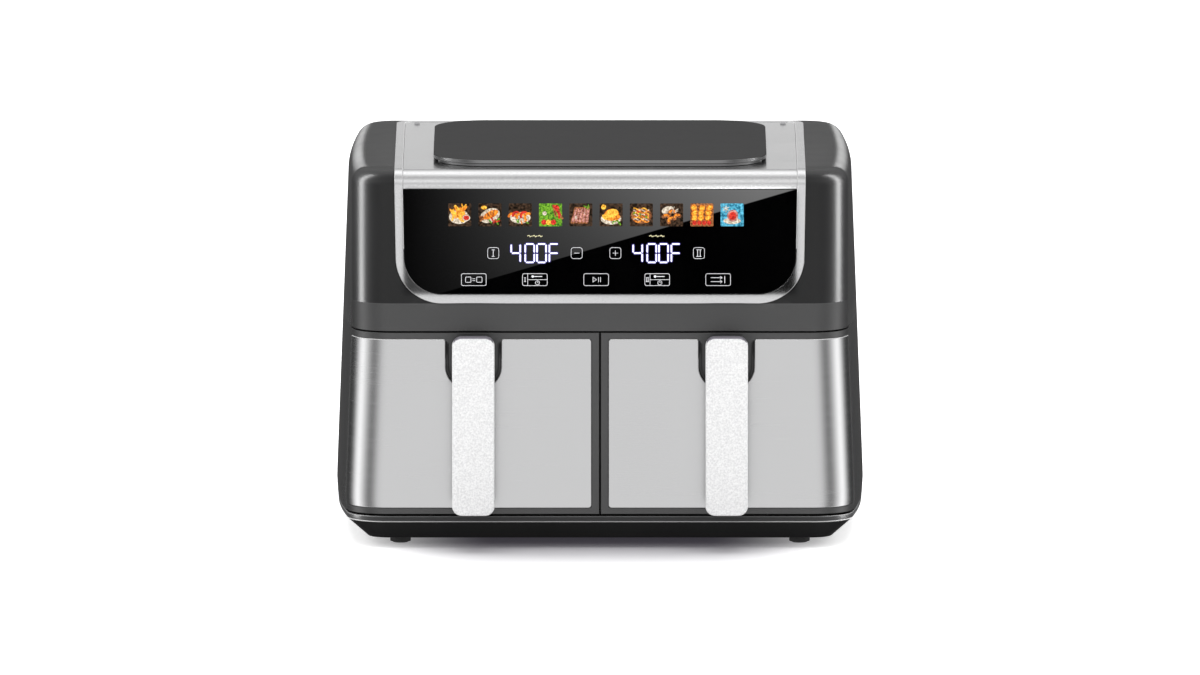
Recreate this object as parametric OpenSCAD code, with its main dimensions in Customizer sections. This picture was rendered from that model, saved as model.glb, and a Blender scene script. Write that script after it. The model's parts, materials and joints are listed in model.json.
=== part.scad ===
// Counter-top air fryer with two side-by-side drawers, as an assembly of separate pieces.
// Millimetres. +Z is up, the front looks along -Y, and the origin is under the middle of the
// whole object on the surface that it stands on.

/* [Casing] */
// Widest width of the casing
body_w = 400; // [392:1:430]
// Depth of the casing from its front plane to its rear plane
body_d = 328; // [320:1:350]
// Height from the display glass up to the top deck
deck_lip = 13.6; // [12:0.1:18]
// Height at which the casing is widest
widest_z = 36; // [30:1:45]
// How far each side leans in for each millimetre of height
side_lean = 0.038; // [0.02:0.002:0.045]
// How far each side tucks in between the widest height and the underside
side_tuck = 2.4; // [1:0.2:4]
// How much narrower each side is at the front corner than at its widest place
bow_sag = 7.2; // [6.8:0.1:9]
// Distance from the front plane to the widest place of the bowed sides
bow_centre = 150; // [140:1:165]
// Radius of the upright corners
corner_r = 30; // [26:1:34]
// Radius of the rounded edge along the top's sides and rear
shoulder_r = 14; // [11:1:16]
// Radius of the rounded edge along the top's front
roll_r = 11; // [9:0.5:12]
// Thickness of the plastic walls
wall = 3; // [2.4:0.1:3.4]
// Open seam between neighbouring outer panels
seam = 1.2; // [0.8:0.1:1.6]
// Thin parting line between fixed casing pieces
parting = 0.4; // [0.3:0.05:0.6]
// How far the front pieces wrap back round the corners
front_depth = 32; // [32:0.5:36]

/* [Base] */
// Height of the feet below the base
foot_h = 6; // [5:0.5:9]
// Radius of a foot
foot_r = 7.8; // [6:0.1:10]
// Distance of the feet from the casing's widest place
foot_side = 49; // [45:1:58]
// Distance of the feet from the front and rear planes
foot_inset = 36; // [32:1:50]
// Height of the base tray
base_h = 18.5; // [17:0.5:22]
// Height of the upright lip at the top of the base tray
base_lip = 5.5; // [4:0.5:7]
// How far the base slopes in under the lip
base_slope = 15; // [10:0.5:17]

/* [Upper casing] */
// Height of the sloping band at the foot of the upper casing
band_h = 20.8; // [16:0.2:24]
// How far the control panel stands back from the front plane
panel_set = 2.5; // [1:0.1:4]
// Distance from the casing's widest place to the silver frame
frame_inset = 44.7; // [42:0.1:52]
// Width of the silver frame's band at the sides
frame_band = 6.3; // [5:0.1:8]
// Height of the silver frame's band below the glass
frame_foot = 7; // [6:0.1:9]
// Outer radius of the silver frame's lower corners
frame_r = 35; // [28:1:40]
// How far the silver frame stands proud of the casing
frame_proud = 0.8; // [0.5:0.1:1.5]
// How far the silver pieces are let into the casing
frame_let_in = 1.2; // [0.9:0.1:1.4]
// Distance from the rear plane to the silver frame
frame_rear = 19; // [17:0.5:24]
// Thickness of the deck plate above its seat
deck_proud = 0.2; // [0.1:0.05:0.4]
// Height of the display glass
glass_h = 80; // [74:0.5:84]
// Thickness of the display glass
glass_t = 3; // [2.5:0.1:4]
// Clearance round the glass and the silver pieces
trim_gap = 0.2; // [0.15:0.05:0.3]

/* [Top cover] */
// Width of the raised cover over the air inlet
cover_w = 252; // [230:1:262]
// Depth of the raised cover
cover_d = 245; // [225:1:250]
// Thickness of the raised cover
cover_t = 3; // [2.5:0.1:4]
// Height of the air gap under the raised cover
cover_gap = 2.8; // [2:0.1:3.8]
// Corner radius of the raised cover
cover_r = 40; // [30:1:50]
// Distance from the front plane to the raised cover
cover_set = 25; // [22:1:30]
// Radius of the cover's legs
cover_leg_r = 5; // [4:0.5:7]

/* [Drawer fronts] */
// Height of a drawer front
drawer_h = 138.5; // [136:0.5:142]
// Thickness of the steel skin
skin_t = 0.8; // [0.6:0.1:1]
// Black border round the steel skin at its upper and lower edges
skin_border = 5; // [4:0.25:6.5]
// Black border beside the steel skin at the middle of the fryer
skin_inner_border = 5.8; // [5:0.1:8]
// Distance from the skin's swept-back end to the drawer front's own edge
skin_end = 3; // [2:0.25:5]
// Distance of a handle from the centre line
handle_x = 95.6; // [92:0.1:98]
// Width of a handle
handle_w = 32; // [28:0.5:36]
// How far a handle stands out from the front plane
handle_reach = 34; // [32:0.5:42]
// Thickness of a handle's grip, front to back
handle_t = 12; // [11:0.5:14]
// Wall of the handle's silver cover
handle_skin = 2.5; // [2:0.1:3]
// Distance from the drawer front's lower edge to the handle
handle_foot = 3.4; // [2:0.2:6]
// Height of the handle's arms
arm_h = 16; // [13:0.5:18]
// Width of the handle's arms
arm_w = 25; // [20:0.5:26]
// Width of the scooped pocket behind the handle
pocket_w = 42.2; // [40:0.1:46]
// Height of the scooped pocket
pocket_h = 37; // [32:0.5:42]
// Radius of the pocket's lower corners
pocket_r = 16; // [12:0.5:19]
// Depth of the pocket at its lower end
pocket_depth = 7; // [5:0.5:9]

/* [Cooking chambers] */
// Thickness of the chambers' sheet steel
sheet = 1.2; // [1:0.1:1.4]
// Gap between the two chambers
centre_gap = 14; // [13.6:0.2:16]
// Air gap between a chamber and the casing
insulation = 3; // [2:0.25:4]
// Distance from the rear plane to the chambers
chamber_rear = 40; // [36:1:46]
// Height of the chambers' floor sheet above the base tray
chamber_lift = 2.5; // [2:0.25:5]
// Height from the top of a drawer opening to the chamber roof
heater_room = 30.2; // [29:0.2:34]
// Thickness of the front bezel that frames the chambers
bezel_t = 2.5; // [2:0.25:3]
// Height of the bezel strip over the drawer openings
bezel_head = 15.6; // [14:0.2:18]
// Height of the rails that carry the pans
rail_h = 2.5; // [2:0.25:4]

/* [Pans and trays] */
// Clearance between a pan's rim and the chamber at each side
pan_side_gap = 1.8; // [1.2:0.1:3]
// Clearance behind a pan
pan_rear_gap = 6.8; // [4:0.2:12]
// Clearance under a pan
pan_floor_gap = 4.8; // [3:0.2:6]
// Clearance between a pan's rim and the top of its opening
pan_head_gap = 3.5; // [3:0.25:6]
// Wall of a pan
pan_wall = 1.5; // [1.2:0.1:2]
// Width of a pan's rim
pan_rim = 4; // [3.5:0.25:5]
// Thickness of a pan's rim
pan_rim_t = 2; // [1.6:0.2:3]
// Corner radius of a pan
pan_r = 18; // [14:1:24]
// Radius of the edge round a pan's floor
pan_foot_r = 7; // [5:0.5:9]
// Clearance between a tray and its pan
tray_gap = 3.2; // [2.8:0.1:4]
// Height of a tray's plate above the pan's floor
tray_lift = 11.5; // [9:0.5:16]
// Thickness of a tray's plate
tray_t = 1.6; // [1.2:0.1:2]
// Depth of the skirt round a tray
tray_skirt = 6; // [4:0.5:8]
// Radius of a tray's air holes
tray_hole_r = 3.6; // [3:0.1:4]
// Pitch of a tray's air holes
tray_pitch = 17; // [15:0.5:20]
// Radius of the finger hole in the middle of a tray
finger_hole_r = 11; // [9:0.5:12]

/* [Heating and air] */
// Inner radius of a fan well
well_r = 69; // [68.5:0.5:72]
// Height of a fan well
well_h = 26; // [24:0.5:30]
// Width of the flange that seats a fan well
well_flange = 8; // [6:0.5:10]
// Radius of the heating tube
heater_r = 3.2; // [2.6:0.1:3.6]
// Radius of the outer heating ring
heater_ring = 56; // [52:1:58]
// Height of the heating rings below the chamber roof
heater_drop = 6; // [5:0.25:8]
// Radius of the guard under the heater
guard_r = 75; // [73:0.5:78]
// Radius of the guard's wire
guard_wire = 1.5; // [1.2:0.1:2]
// Height of the guard below the chamber roof
guard_drop = 15; // [13:0.5:17]
// Radius of the motor shafts
shaft_r = 2.5; // [2:0.1:4]
// Radial running clearance of a shaft in its motor
run_gap = 0.05; // [0.03:0.01:0.08]
// Clearance between a convection fan and the heater's terminals
fan_gap = 3; // [2:0.5:5]
// Radius of the heater's terminals
terminal_r = 2.5; // [2:0.1:3]
// Number of blades on a convection fan
fan_blades = 10; // [6:1:12]
// Height of the blades of a convection fan
fan_h = 14; // [10:0.5:15]
// Radius of the cooling fans
cooler_r = 42; // [36:1:46]
// Number of blades on a cooling fan
cooler_blades = 7; // [5:1:9]
// Radius of the motors
motor_r = 27; // [22:0.5:30]
// Air space between the cooling fans and the casing's roof
fan_head = 16; // [12:0.5:20]
// Height of the posts under the motor plate
post_h = 34; // [32:0.5:36]

/* [Rear] */
// Distance from the casing's widest place to the rear panel
rear_inset = 62; // [58:1:75]
// Height of the rear panel's lower edge
rear_z0 = 62; // [56:1:70]
// Distance from the top deck down to the rear panel
rear_head = 25; // [22:1:40]
// How far the rear panel is let into the casing
rear_let_in = 1.5; // [1:0.1:1.8]
// Overlap of the rear panel on the casing
rear_lap = 5; // [4:0.25:7]
// Width of one rear slot
slot_h = 3; // [2.4:0.1:3.6]
// Pitch of the rear slots
slot_pitch = 7; // [6:0.25:9]
// Radius of the bore for the mains lead
gland_bore_r = 3.9; // [3.5:0.1:4.5]
// Outer radius of the gland where it passes the wall
gland_r = 7; // [6:0.1:8]
// How far the gland stands out from the rear plane
gland_stub = 4; // [3:0.5:8]
// Distance of the gland from the centre line
gland_x = 118; // [105:1:125]
// Height of the gland
gland_z = 46; // [40:1:50]

/* [Hidden] */
$fn = 48;

// Small sizes that every piece shares.
touch = 0.3;            // running or seating clearance between hard pieces
past = 1;               // how far a cutting shape runs past the face that it cuts
screw_r = 1.5;          // shank of a screw
screw_head_r = 3.2;     // head of a screw
screw_head_h = 1.6;     // height of a screw's head
board_t = 1.6;          // thickness of a circuit board
arc_steps = 8;          // straight pieces in a rounded corner
black = [0.16, 0.16, 0.165];
silver = [0.78, 0.78, 0.79];
steel = [0.72, 0.72, 0.73];
coated = [0.1, 0.1, 0.1];

// Places along the depth and the height.
front_y = -(handle_reach + body_d + gland_stub) / 2 + handle_reach;
rear_y = front_y + body_d;
bow_y = front_y + bow_centre;
part_y = front_y + front_depth;
panel_y = front_y + panel_set;
base_top = foot_h + base_h;
lip_z = base_top - base_lip;
drawer_z0 = base_top + seam;
drawer_z1 = drawer_z0 + drawer_h;
upper_z0 = drawer_z1 + seam;
band_z = upper_z0 + band_h;
glass_z0 = band_z + frame_foot;
glass_z1 = glass_z0 + glass_h;
frame_half_w = body_w / 2 - frame_inset;
glass_half_w = frame_half_w - frame_band;
body_h = glass_z1 + deck_lip;
deck_y1 = rear_y - frame_rear;
cover_z0 = body_h + deck_proud + cover_gap;
cover_y = front_y + cover_set + cover_d / 2;

// Outline of the casing at one height.
function half_w(z) = z > widest_z
    ? body_w / 2 - side_lean * (z - widest_z)
    : body_w / 2 - side_tuck * (widest_z - z) / (widest_z - foot_h);
function front_set(z) = panel_set * min(1, max(0, z - upper_z0) / band_h);
function base_inset(z) = base_slope * max(0, lip_z - z) / (lip_z - foot_h);
function arc(centre, r, a0, a1, steps = arc_steps) =
    [for (i = [0:steps]) let (a = a0 + (a1 - a0) * i / steps) centre + r * [cos(a), sin(a)]];
function inner_points(line) = [for (i = [1:len(line) - 2]) line[i]];
function mirrored(line) = [for (i = [len(line) - 1:-1:0]) [-line[i].x, line[i].y]];
// Half-width of the casing at one height and depth, along the bowed side.
function side_x(z, y) = half_w(z) - bow_r(z) + sqrt(pow(bow_r(z), 2) - pow(y - bow_y, 2));

// Radius of the bowed side at one height: it flattens upwards, so the front corners stand upright.
function bow_r(z) = pow(bow_centre - corner_r, 2) / 2 / (bow_sag - side_lean * max(0, z - upper_z0));

function half_outline(w, bow, set, all_in) =
    let (
        cx = w - bow,
        span = bow - corner_r,
        fy = front_y + set + corner_r,
        ry = rear_y - corner_r,
        fx = cx + sqrt(span * span - (fy - bow_y) * (fy - bow_y)),
        rx = cx + sqrt(span * span - (ry - bow_y) * (ry - bow_y)),
        af = atan2(fy - bow_y, fx - cx),
        ar = atan2(ry - bow_y, rx - cx)
    )
    concat(
        arc([fx, fy], corner_r - all_in, -90, af),
        inner_points(arc([cx, bow_y], bow - all_in, af, ar)),
        arc([rx, ry], corner_r - all_in, ar, 90)
    );
function outline(z, inset = 0) =
    let (half = half_outline(half_w(z), bow_r(z), front_set(z), inset + base_inset(z)))
    concat(half, mirrored(half));

// A solid through outlines at rising heights: each level is [z, points].
module loft(levels) {
    n = len(levels[0][1]);
    last = (len(levels) - 1) * n;
    points = [for (level = levels) for (p = level[1]) [p.x, p.y, level[0]]];
    sides = [
        for (k = [0:len(levels) - 2]) for (i = [0:n - 1])
            let (a = k * n + i, b = k * n + (i + 1) % n) each [[a, a + n, b + n], [a, b + n, b]]
    ];
    polyhedron(points, concat([[for (i = [0:n - 1]) i]], sides, [[for (i = [n - 1:-1:0]) last + i]]));
}

module casing(heights, inset = 0) loft([for (z = heights) [z, outline(z, inset)]]);

// The upper casing with its top edge rounded, as a solid that stands inset from the outside.
module roofed(edge_r, inset = 0) {
    r = edge_r - inset;
    edge_z = body_h - edge_r;
    loft(concat(
        [for (z = [upper_z0, band_z, edge_z]) [z, outline(z, inset)]],
        [for (i = [1:arc_steps]) let (a = 90 * i / arc_steps)
            [edge_z + r * sin(a), outline(edge_z, inset + r * (1 - cos(a)))]]
    ));
}

// A box given by its lowest and highest corners.
module block(low, high) translate(low) cube(high - low);

// Children repeated on the other side of the centre line.
module left() mirror([1, 0, 0]) children();

// A shape drawn in the front view (x, z), as a prism between two depths.
module front_prism(y0, y1) translate([0, y1, 0]) rotate([90, 0, 0]) linear_extrude(y1 - y0) children();

// A shape drawn in the side view (y, z), as a prism between two widths.
module side_prism(x0, x1) translate([x0, 0, 0]) rotate([90, 0, 90]) linear_extrude(x1 - x0) children();

// A cylinder along the depth.
module bar_y(r, x, z, y0, y1) translate([x, y0, z]) rotate([-90, 0, 0]) cylinder(r = r, h = y1 - y0);

function round_rect(w, d, r) = concat(
    arc([w / 2 - r, -d / 2 + r], r, -90, 0), arc([w / 2 - r, d / 2 - r], r, 0, 90),
    arc([-w / 2 + r, d / 2 - r], r, 90, 180), arc([-w / 2 + r, -d / 2 + r], r, 180, 270)
);
module round_plate(w, d, r, t) linear_extrude(t) polygon(round_rect(w, d, r));

// A screw that points along +Z from under its head.
module screw(length) {
    cylinder(r = screw_r, h = length);
    translate([0, 0, -screw_head_h]) cylinder(r = screw_head_r, h = screw_head_h);
}

// ---------------------------------------------------------------- base
floor_z = foot_h + wall;
foot_x = body_w / 2 - foot_side;
foot_places = [for (sx = [-1, 1], y = [front_y + foot_inset, rear_y - foot_inset]) [sx * foot_x, y]];
foot_stem_r = foot_r / 2;
boss_r = 5;
base_screw_set = 62;
base_screw_depths = [front_y + base_screw_set, (front_y + rear_y) / 2, rear_y - base_screw_set];
base_screw_places = [for (sx = [-1, 1], y = base_screw_depths)
    [sx * (foot_x - 3 * foot_r), y]];
base_slot_w = 0.4 * foot_x;
base_slot_t = 3;
base_slot_pitch = 10;
base_slot_count = 9;

module base_tray() color(black) difference() {
    union() {
        difference() {
            casing([foot_h, lip_z, base_top]);
            casing([floor_z, lip_z, base_top + past], wall);
        }
        for (p = base_screw_places) translate([p.x, p.y, foot_h])
            cylinder(r = boss_r, h = chamber_z0 - foot_h);
    }
    for (p = foot_places) translate([p.x, p.y, foot_h - past])
        cylinder(r = foot_stem_r + touch / 2, h = wall + 2 * past);
    for (p = base_screw_places) translate([p.x, p.y, foot_h - past])
        cylinder(r = screw_head_r + touch, h = past + screw_head_h + touch);
    for (p = base_screw_places) translate([p.x, p.y, foot_h - past])
        cylinder(r = screw_r + touch / 2, h = base_top);
    for (i = [0:base_slot_count - 1], sx = [-1, 1])
        translate([
            (sx * foot_x - base_slot_w) / 2,
            (i - (base_slot_count - 1) / 2) * base_slot_pitch,
            foot_h - past])
            cube([base_slot_w, base_slot_t, wall + 2 * past]);
}

module foot() rotate_extrude() polygon(concat(
    [[0, 0]], arc([foot_r - 1.6, 1.6], 1.6, -90, 0, 4),
    [[foot_r, foot_h], [foot_stem_r, foot_h], [foot_stem_r, floor_z + touch / 2],
     [foot_stem_r + 0.8, floor_z + touch / 2], [foot_stem_r - 0.4, floor_z + 3], [0, floor_z + 3]]
));
module feet() color([0.12, 0.12, 0.12]) for (p = foot_places) translate([p.x, p.y, 0]) foot();

module casing_screws() color(steel) {
    for (p = base_screw_places) translate([p.x, p.y, foot_h + screw_head_h + touch / 2])
        screw(chamber_z0 - foot_h - screw_head_h - touch);
    for (p = back_screw_places) {
        bar_y(screw_r, p.x, p.y, rear_y - wall - rear_screw_end, rear_y - rear_head_sink);
        bar_y(rear_screw_head_r, p.x, p.y, rear_y - rear_head_sink, rear_y);
    }
}

// ---------------------------------------------------------------- chamber sizes
chamber_z0 = base_top + chamber_lift;
open_z1 = upper_z0 - bezel_head;
roof_z = open_z1 + heater_room;
chamber_x0 = centre_gap / 2;
chamber_y0 = part_y + bezel_t;
chamber_y1 = rear_y - chamber_rear;
chamber_x1 = min(side_x(roof_z, chamber_y1), side_x(roof_z, part_y)) - wall - insulation;
cell_x = (chamber_x0 + chamber_x1) / 2;
open_x0 = chamber_x0 + sheet;
open_x1 = chamber_x1 - sheet;
open_z0 = chamber_z0 + sheet;
pan_z0 = open_z0 + pan_floor_gap;
pan_z1 = open_z1 - pan_head_gap;
pan_w = open_x1 - open_x0 - 2 * (pan_side_gap + pan_rim);
pan_y0 = part_y - parting;
pan_y1 = chamber_y1 - sheet - pan_rear_gap;
pan_y = (pan_y0 + pan_y1) / 2;
pan_d = pan_y1 - pan_y0;
rail_z0 = pan_z1 - pan_rim_t - touch - rail_h;
rail_w = pan_side_gap + pan_rim - touch * 2;
pan_screw_drop = 22;
pan_screw_places = [for (sx = [-1, 1]) [cell_x + sx * pan_w / 3, pan_z1 - pan_screw_drop]];

// ---------------------------------------------------------------- casing
rear_z1 = body_h - rear_head;
rear_half_w = body_w / 2 - rear_inset;
rear_open = rear_half_w - rear_lap;

module rear_opening() {
    block([-rear_open, rear_y - wall - past, rear_z0 + rear_lap],
          [rear_open, rear_y + past, rear_z1 - rear_lap]);
    block([-rear_half_w - touch, rear_y - rear_let_in - touch / 2, rear_z0 - touch],
          [rear_half_w + touch, rear_y + past, rear_z1 + touch]);
    for (p = back_screw_places) bar_y(screw_r + touch / 2, p.x, p.y, rear_y - wall - past, rear_y + past);
}
// Screws stand on the rear panel's lap, as [x, z].
rear_screw_heights = [rear_z0 + rear_lap / 2, 0.6 * rear_z0 + 0.4 * rear_z1, rear_z1 - rear_lap / 2];
back_screw_places = [for (sx = [-1, 1], z = rear_screw_heights) [sx * (rear_half_w - rear_lap / 2), z]];

module side_shell(lead_side) color(black) difference() {
    casing([base_top, widest_z, upper_z0 - parting]);
    casing([base_top - past, base_top, widest_z, upper_z0 - parting + past], wall);
    block([-body_w, front_y - past, 0], [body_w, part_y, body_h]);
    block([-body_w, front_y, 0], [parting / 2, rear_y + past, body_h]);
    rear_opening();
    if (lead_side) bar_y(gland_r + touch / 2, gland_x, gland_z, rear_y - wall - past, rear_y + past);
}

// Outline in the side view of a layer that follows the panel, the rounded edge and the deck.
function wrap_line(out) = concat(
    [[panel_y - out, band_z - past]],
    arc([panel_y + roll_r, body_h - roll_r], roll_r + out, 180, 90),
    [[rear_y, body_h + out]]
);
function reversed(line) = [for (i = [len(line) - 1:-1:0]) line[i]];
module wrap_layer(out, under, half_w) side_prism(-half_w, half_w)
    polygon(concat(wrap_line(out), reversed(wrap_line(-under))));

// Front view of the silver frame and of the glass: square above, round at the lower corners.
module shield(half, z0, r, z1 = body_h + 2 * past)
    polygon(concat(arc([-half + r, z0 + r], r, 180, 270), arc([half - r, z0 + r], r, 270, 360),
        [[half, z1], [-half, z1]]));
// Plan view of the silver area of the deck: square in front, round at the rear corners.
deck_r = 14;
module deck_area(half, y1, r)
    polygon(concat([[-half, front_y - 2 * handle_reach], [half, front_y - 2 * handle_reach]],
        arc([half - r, y1 - r], r, 0, 90), arc([-half + r, y1 - r], r, 90, 180)));

// The volume that the silver pieces take out of the casing, grown by a clearance.
module silver_seat(grow) intersection() {
    wrap_layer(frame_proud + past, frame_let_in + grow, frame_half_w + grow);
    front_prism(front_y - past, rear_y) shield(frame_half_w + grow, band_z - grow, frame_r);
    linear_extrude(body_h + 2 * past) deck_area(frame_half_w + grow, deck_y1 + grow, deck_r);
}
module glass_window(grow) front_prism(front_y - past, panel_y + 3 * wall)
    shield(glass_half_w + grow, glass_z0 - grow, frame_r - frame_band, glass_z1 + grow);

// Air inlet in the deck, under the raised cover.
inlet_half = 0.26 * cover_w;
inlet_slots = 15;
inlet_slot_t = 3.4;
inlet_pitch = 2 * inlet_half / inlet_slots;
cover_leg_inset = 26;
cover_leg_places = [for (sx = [-1, 1], sy = [-1, 1])
    [sx * (cover_w / 2 - cover_leg_inset), cover_y + sy * (cover_d / 2 - cover_leg_inset)]];

module front_fascia() color(black) difference() {
    roofed(roll_r);
    translate([0, 0, -past]) casing([upper_z0, upper_z0 + 2 * past], wall);
    roofed(roll_r, wall);
    block([-body_w, part_y - parting, 0], [body_w, rear_y + past, 2 * body_h]);
    silver_seat(trim_gap / 2);
    glass_window(trim_gap);
}

module upper_housing() color(black) difference() {
    roofed(shoulder_r);
    translate([0, 0, -past]) casing([upper_z0, upper_z0 + 2 * past], wall);
    roofed(shoulder_r, wall);
    block([-body_w, front_y - past, 0], [body_w, part_y, 2 * body_h]);
    silver_seat(trim_gap / 2);
    block(
        [-inlet_half, cover_y - inlet_half, body_h - 2 * wall],
        [inlet_half, cover_y + inlet_half, body_h + past]);
    for (p = cover_leg_places) translate([p.x, p.y, body_h - 2 * wall])
        cylinder(r = screw_r + touch / 2, h = 3 * wall);
    rear_opening();
}

module trim_frame() color(silver) difference() {
    intersection() {
        wrap_layer(frame_proud, frame_let_in, frame_half_w);
        front_prism(front_y - past, rear_y) shield(frame_half_w, band_z, frame_r);
        linear_extrude(body_h + 2 * past) deck_area(frame_half_w, deck_y1, deck_r);
    }
    intersection() {
        front_prism(front_y - past, rear_y) shield(glass_half_w, glass_z0, frame_r - frame_band);
        linear_extrude(body_h + 2 * past) deck_area(glass_half_w, deck_y1 - frame_band, deck_r - frame_band);
    }
}

module deck_plate() color(silver) difference() {
    intersection() {
        wrap_layer(deck_proud, frame_let_in, glass_half_w - trim_gap);
        block([-body_w, front_y - past, glass_z1 + trim_gap], [body_w, rear_y, 2 * body_h]);
        linear_extrude(body_h + 2 * past)
            deck_area(glass_half_w - trim_gap, deck_y1 - frame_band - trim_gap, deck_r - frame_band);
    }
    for (i = [0:inlet_slots - 1], sx = [-1, 1])
        translate([sx * inlet_half / 2, cover_y + (i - (inlet_slots - 1) / 2) * inlet_pitch, body_h])
            cube([0.88 * inlet_half, inlet_slot_t, 3 * wall], center = true);
    for (p = cover_leg_places)
        translate([p.x, p.y, body_h - wall])
        cylinder(r = screw_r + touch / 2, h = 3 * wall);
}

module top_vent_cover() color(black) union() {
    translate([0, cover_y, cover_z0]) round_plate(cover_w, cover_d, cover_r, cover_t);
    for (p = cover_leg_places) {
        translate([p.x, p.y, body_h + deck_proud]) cylinder(r = cover_leg_r, h = cover_gap);
        translate([p.x, p.y, body_h - wall - 2]) cylinder(r = screw_r, h = wall + 2 + deck_proud);
    }
}

module display_glass() color([0.02, 0.02, 0.02]) intersection() {
    block([-body_w, panel_y + touch, 0], [body_w, panel_y + touch + glass_t, body_h]);
    front_prism(front_y - past, panel_y + 3 * wall)
        shield(glass_half_w - trim_gap, glass_z0 + trim_gap, frame_r - frame_band, glass_z1);
}

carrier_y0 = panel_y + touch + glass_t;
carrier_t = 2.5;
carrier_lap = 5;
board_stand = 4;
boss_x = 0.87 * glass_half_w;
digit_half_w = 0.16 * glass_half_w;
digit_half_h = glass_h / 8;
digit_x = 0.31 * glass_half_w;
digit_z = glass_z0 + 0.38 * glass_h;
module display_carrier() color([0.2, 0.2, 0.2]) difference() {
    union() {
        front_prism(carrier_y0, carrier_y0 + carrier_t)
            shield(glass_half_w + carrier_lap, glass_z0 - carrier_lap, frame_r, glass_z1 + carrier_lap / 4);
        for (x = [-boss_x, 0, boss_x], z = [glass_z0 + glass_h / 5, glass_z1 - glass_h / 5])
            bar_y(boss_r / 2, x, z, carrier_y0, carrier_y0 + carrier_t + board_stand);
    }
    for (sx = [-1, 1]) block([sx * digit_x - digit_half_w, carrier_y0 - past, digit_z - digit_half_h],
        [sx * digit_x + digit_half_w, carrier_y0 + carrier_t + past, digit_z + digit_half_h]);
}

board_y0 = carrier_y0 + carrier_t + board_stand;
touch_half_w = glass_half_w - 11;
touch_margin = 6;
display_sink = board_stand + 1;
chip_w = 16;
chip_t = 2.5;
plug_w = 40;
plug_h = 7;
module touch_board() union() {
    color([0.05, 0.3, 0.15]) block([-touch_half_w, board_y0, glass_z0 + touch_margin],
        [touch_half_w, board_y0 + board_t, glass_z1 - touch_margin]);
    color("white") for (sx = [-1, 1])
        block([sx * digit_x - digit_half_w + 1, board_y0 - display_sink, digit_z - digit_half_h + 1],
              [sx * digit_x + digit_half_w - 1, board_y0, digit_z + digit_half_h - 1]);
    color(coated) for (sx = [-1, 0, 1])
        translate([sx * 0.7 * boss_x - chip_w / 2, board_y0 + board_t, glass_z1 - 3 * chip_w])
            cube([chip_w, chip_t, chip_w]);
    color("ivory") translate([-plug_w / 2, board_y0 + board_t, glass_z0 + touch_margin + chip_t])
        cube([plug_w, plug_h, plug_h]);
}

// ---------------------------------------------------------------- rear
rear_lip = wall - rear_let_in + 0.6;
rear_screw_head_r = 2.2;
rear_head_sink = 0.8;
rear_screw_end = 3;
vent_x = 0.55 * cell_x;
vent_half = 0.41 * cell_x;
module back_panel() color(black) difference() {
    union() {
        block([-rear_half_w, rear_y - rear_let_in, rear_z0], [rear_half_w, rear_y, rear_z1]);
        block([-rear_open + touch, rear_y - rear_let_in - rear_lip, rear_z0 + rear_lap + touch],
              [rear_open - touch, rear_y - rear_let_in, rear_z1 - rear_lap - touch]);
    }
    for (sx = [-1, 1], i = [0:2]) // outlets of the two chambers
        block([sx * cell_x - duct_half + 3, rear_y - 4 * wall, duct_z0 + 3 + i * slot_pitch],
              [sx * cell_x + duct_half - 3, rear_y + past, duct_z0 + 3 + i * slot_pitch + slot_h]);
    for (sx = [-1, 1], z = [roof_z + well_h + 6 : slot_pitch : rear_z1 - rear_lap - 8]) // cooling air
        block(
            [sx * vent_x - vent_half, rear_y - 4 * wall, z],
            [sx * vent_x + vent_half, rear_y + past, z + slot_h]);
    for (p = back_screw_places) {
        bar_y(screw_r + touch / 2, p.x, p.y, rear_y - 4 * wall, rear_y + past);
        bar_y(rear_screw_head_r + touch, p.x, p.y, rear_y - rear_head_sink, rear_y + past);
    }
}

duct_half = 0.4 * cell_x;
duct_h = 23;
duct_z0 = roof_z - duct_h - 2;
module exhaust_ducts() color(steel) for (sx = [-1, 1]) difference() {
    block([sx * cell_x - duct_half, chamber_y1 + touch / 2, duct_z0],
          [sx * cell_x + duct_half, rear_y - rear_let_in - rear_lip - touch / 2, duct_z0 + duct_h]);
    block([sx * cell_x - duct_half + sheet, chamber_y1 - past, duct_z0 + sheet],
          [sx * cell_x + duct_half - sheet, rear_y, duct_z0 + duct_h - sheet]);
}

gland_in = 5;
gland_y0 = rear_y - wall - gland_in;
gland_flange = 2.5;
terminal_half = 14;
terminal_d = 16;
module cord_gland() color(coated) difference() {
    union() {
        bar_y(gland_r, gland_x, gland_z, gland_y0, rear_y + past);
        bar_y(gland_r + gland_flange, gland_x, gland_z, rear_y, rear_y + gland_stub);
        bar_y(gland_r + gland_flange / 2, gland_x, gland_z, gland_y0, rear_y - wall - touch / 2);
    }
    bar_y(gland_bore_r, gland_x, gland_z, gland_y0 - past, rear_y + gland_stub + past);
}

module terminal_block() color("ivory") difference() {
    block([gland_x - terminal_half, gland_y0 - 1.5 * terminal_d, floor_z],
          [gland_x + terminal_half, gland_y0 - terminal_d / 2, floor_z + terminal_d]);
    for (dx = [-1, 0, 1])
        translate([gland_x + dx * terminal_half / 2, gland_y0 - terminal_d, floor_z + terminal_d / 3])
            cylinder(r = screw_r, h = terminal_d);
}

// ---------------------------------------------------------------- chambers
module front_bezel() color(black) difference() {
    intersection() {
        casing([base_top + touch, widest_z, upper_z0 - touch], wall + touch);
        block([-body_w, part_y, base_top], [body_w, chamber_y0, body_h]);
    }
    for (sx = [-1, 1]) {
        block([min(sx * open_x0, sx * open_x1), part_y - past, open_z0],
              [max(sx * open_x0, sx * open_x1), chamber_y0 + past, open_z1]);
        bar_y(plunger_r + touch, sx * switch_x, switch_z, part_y - past, chamber_y0 + past);
    }
}

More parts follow.
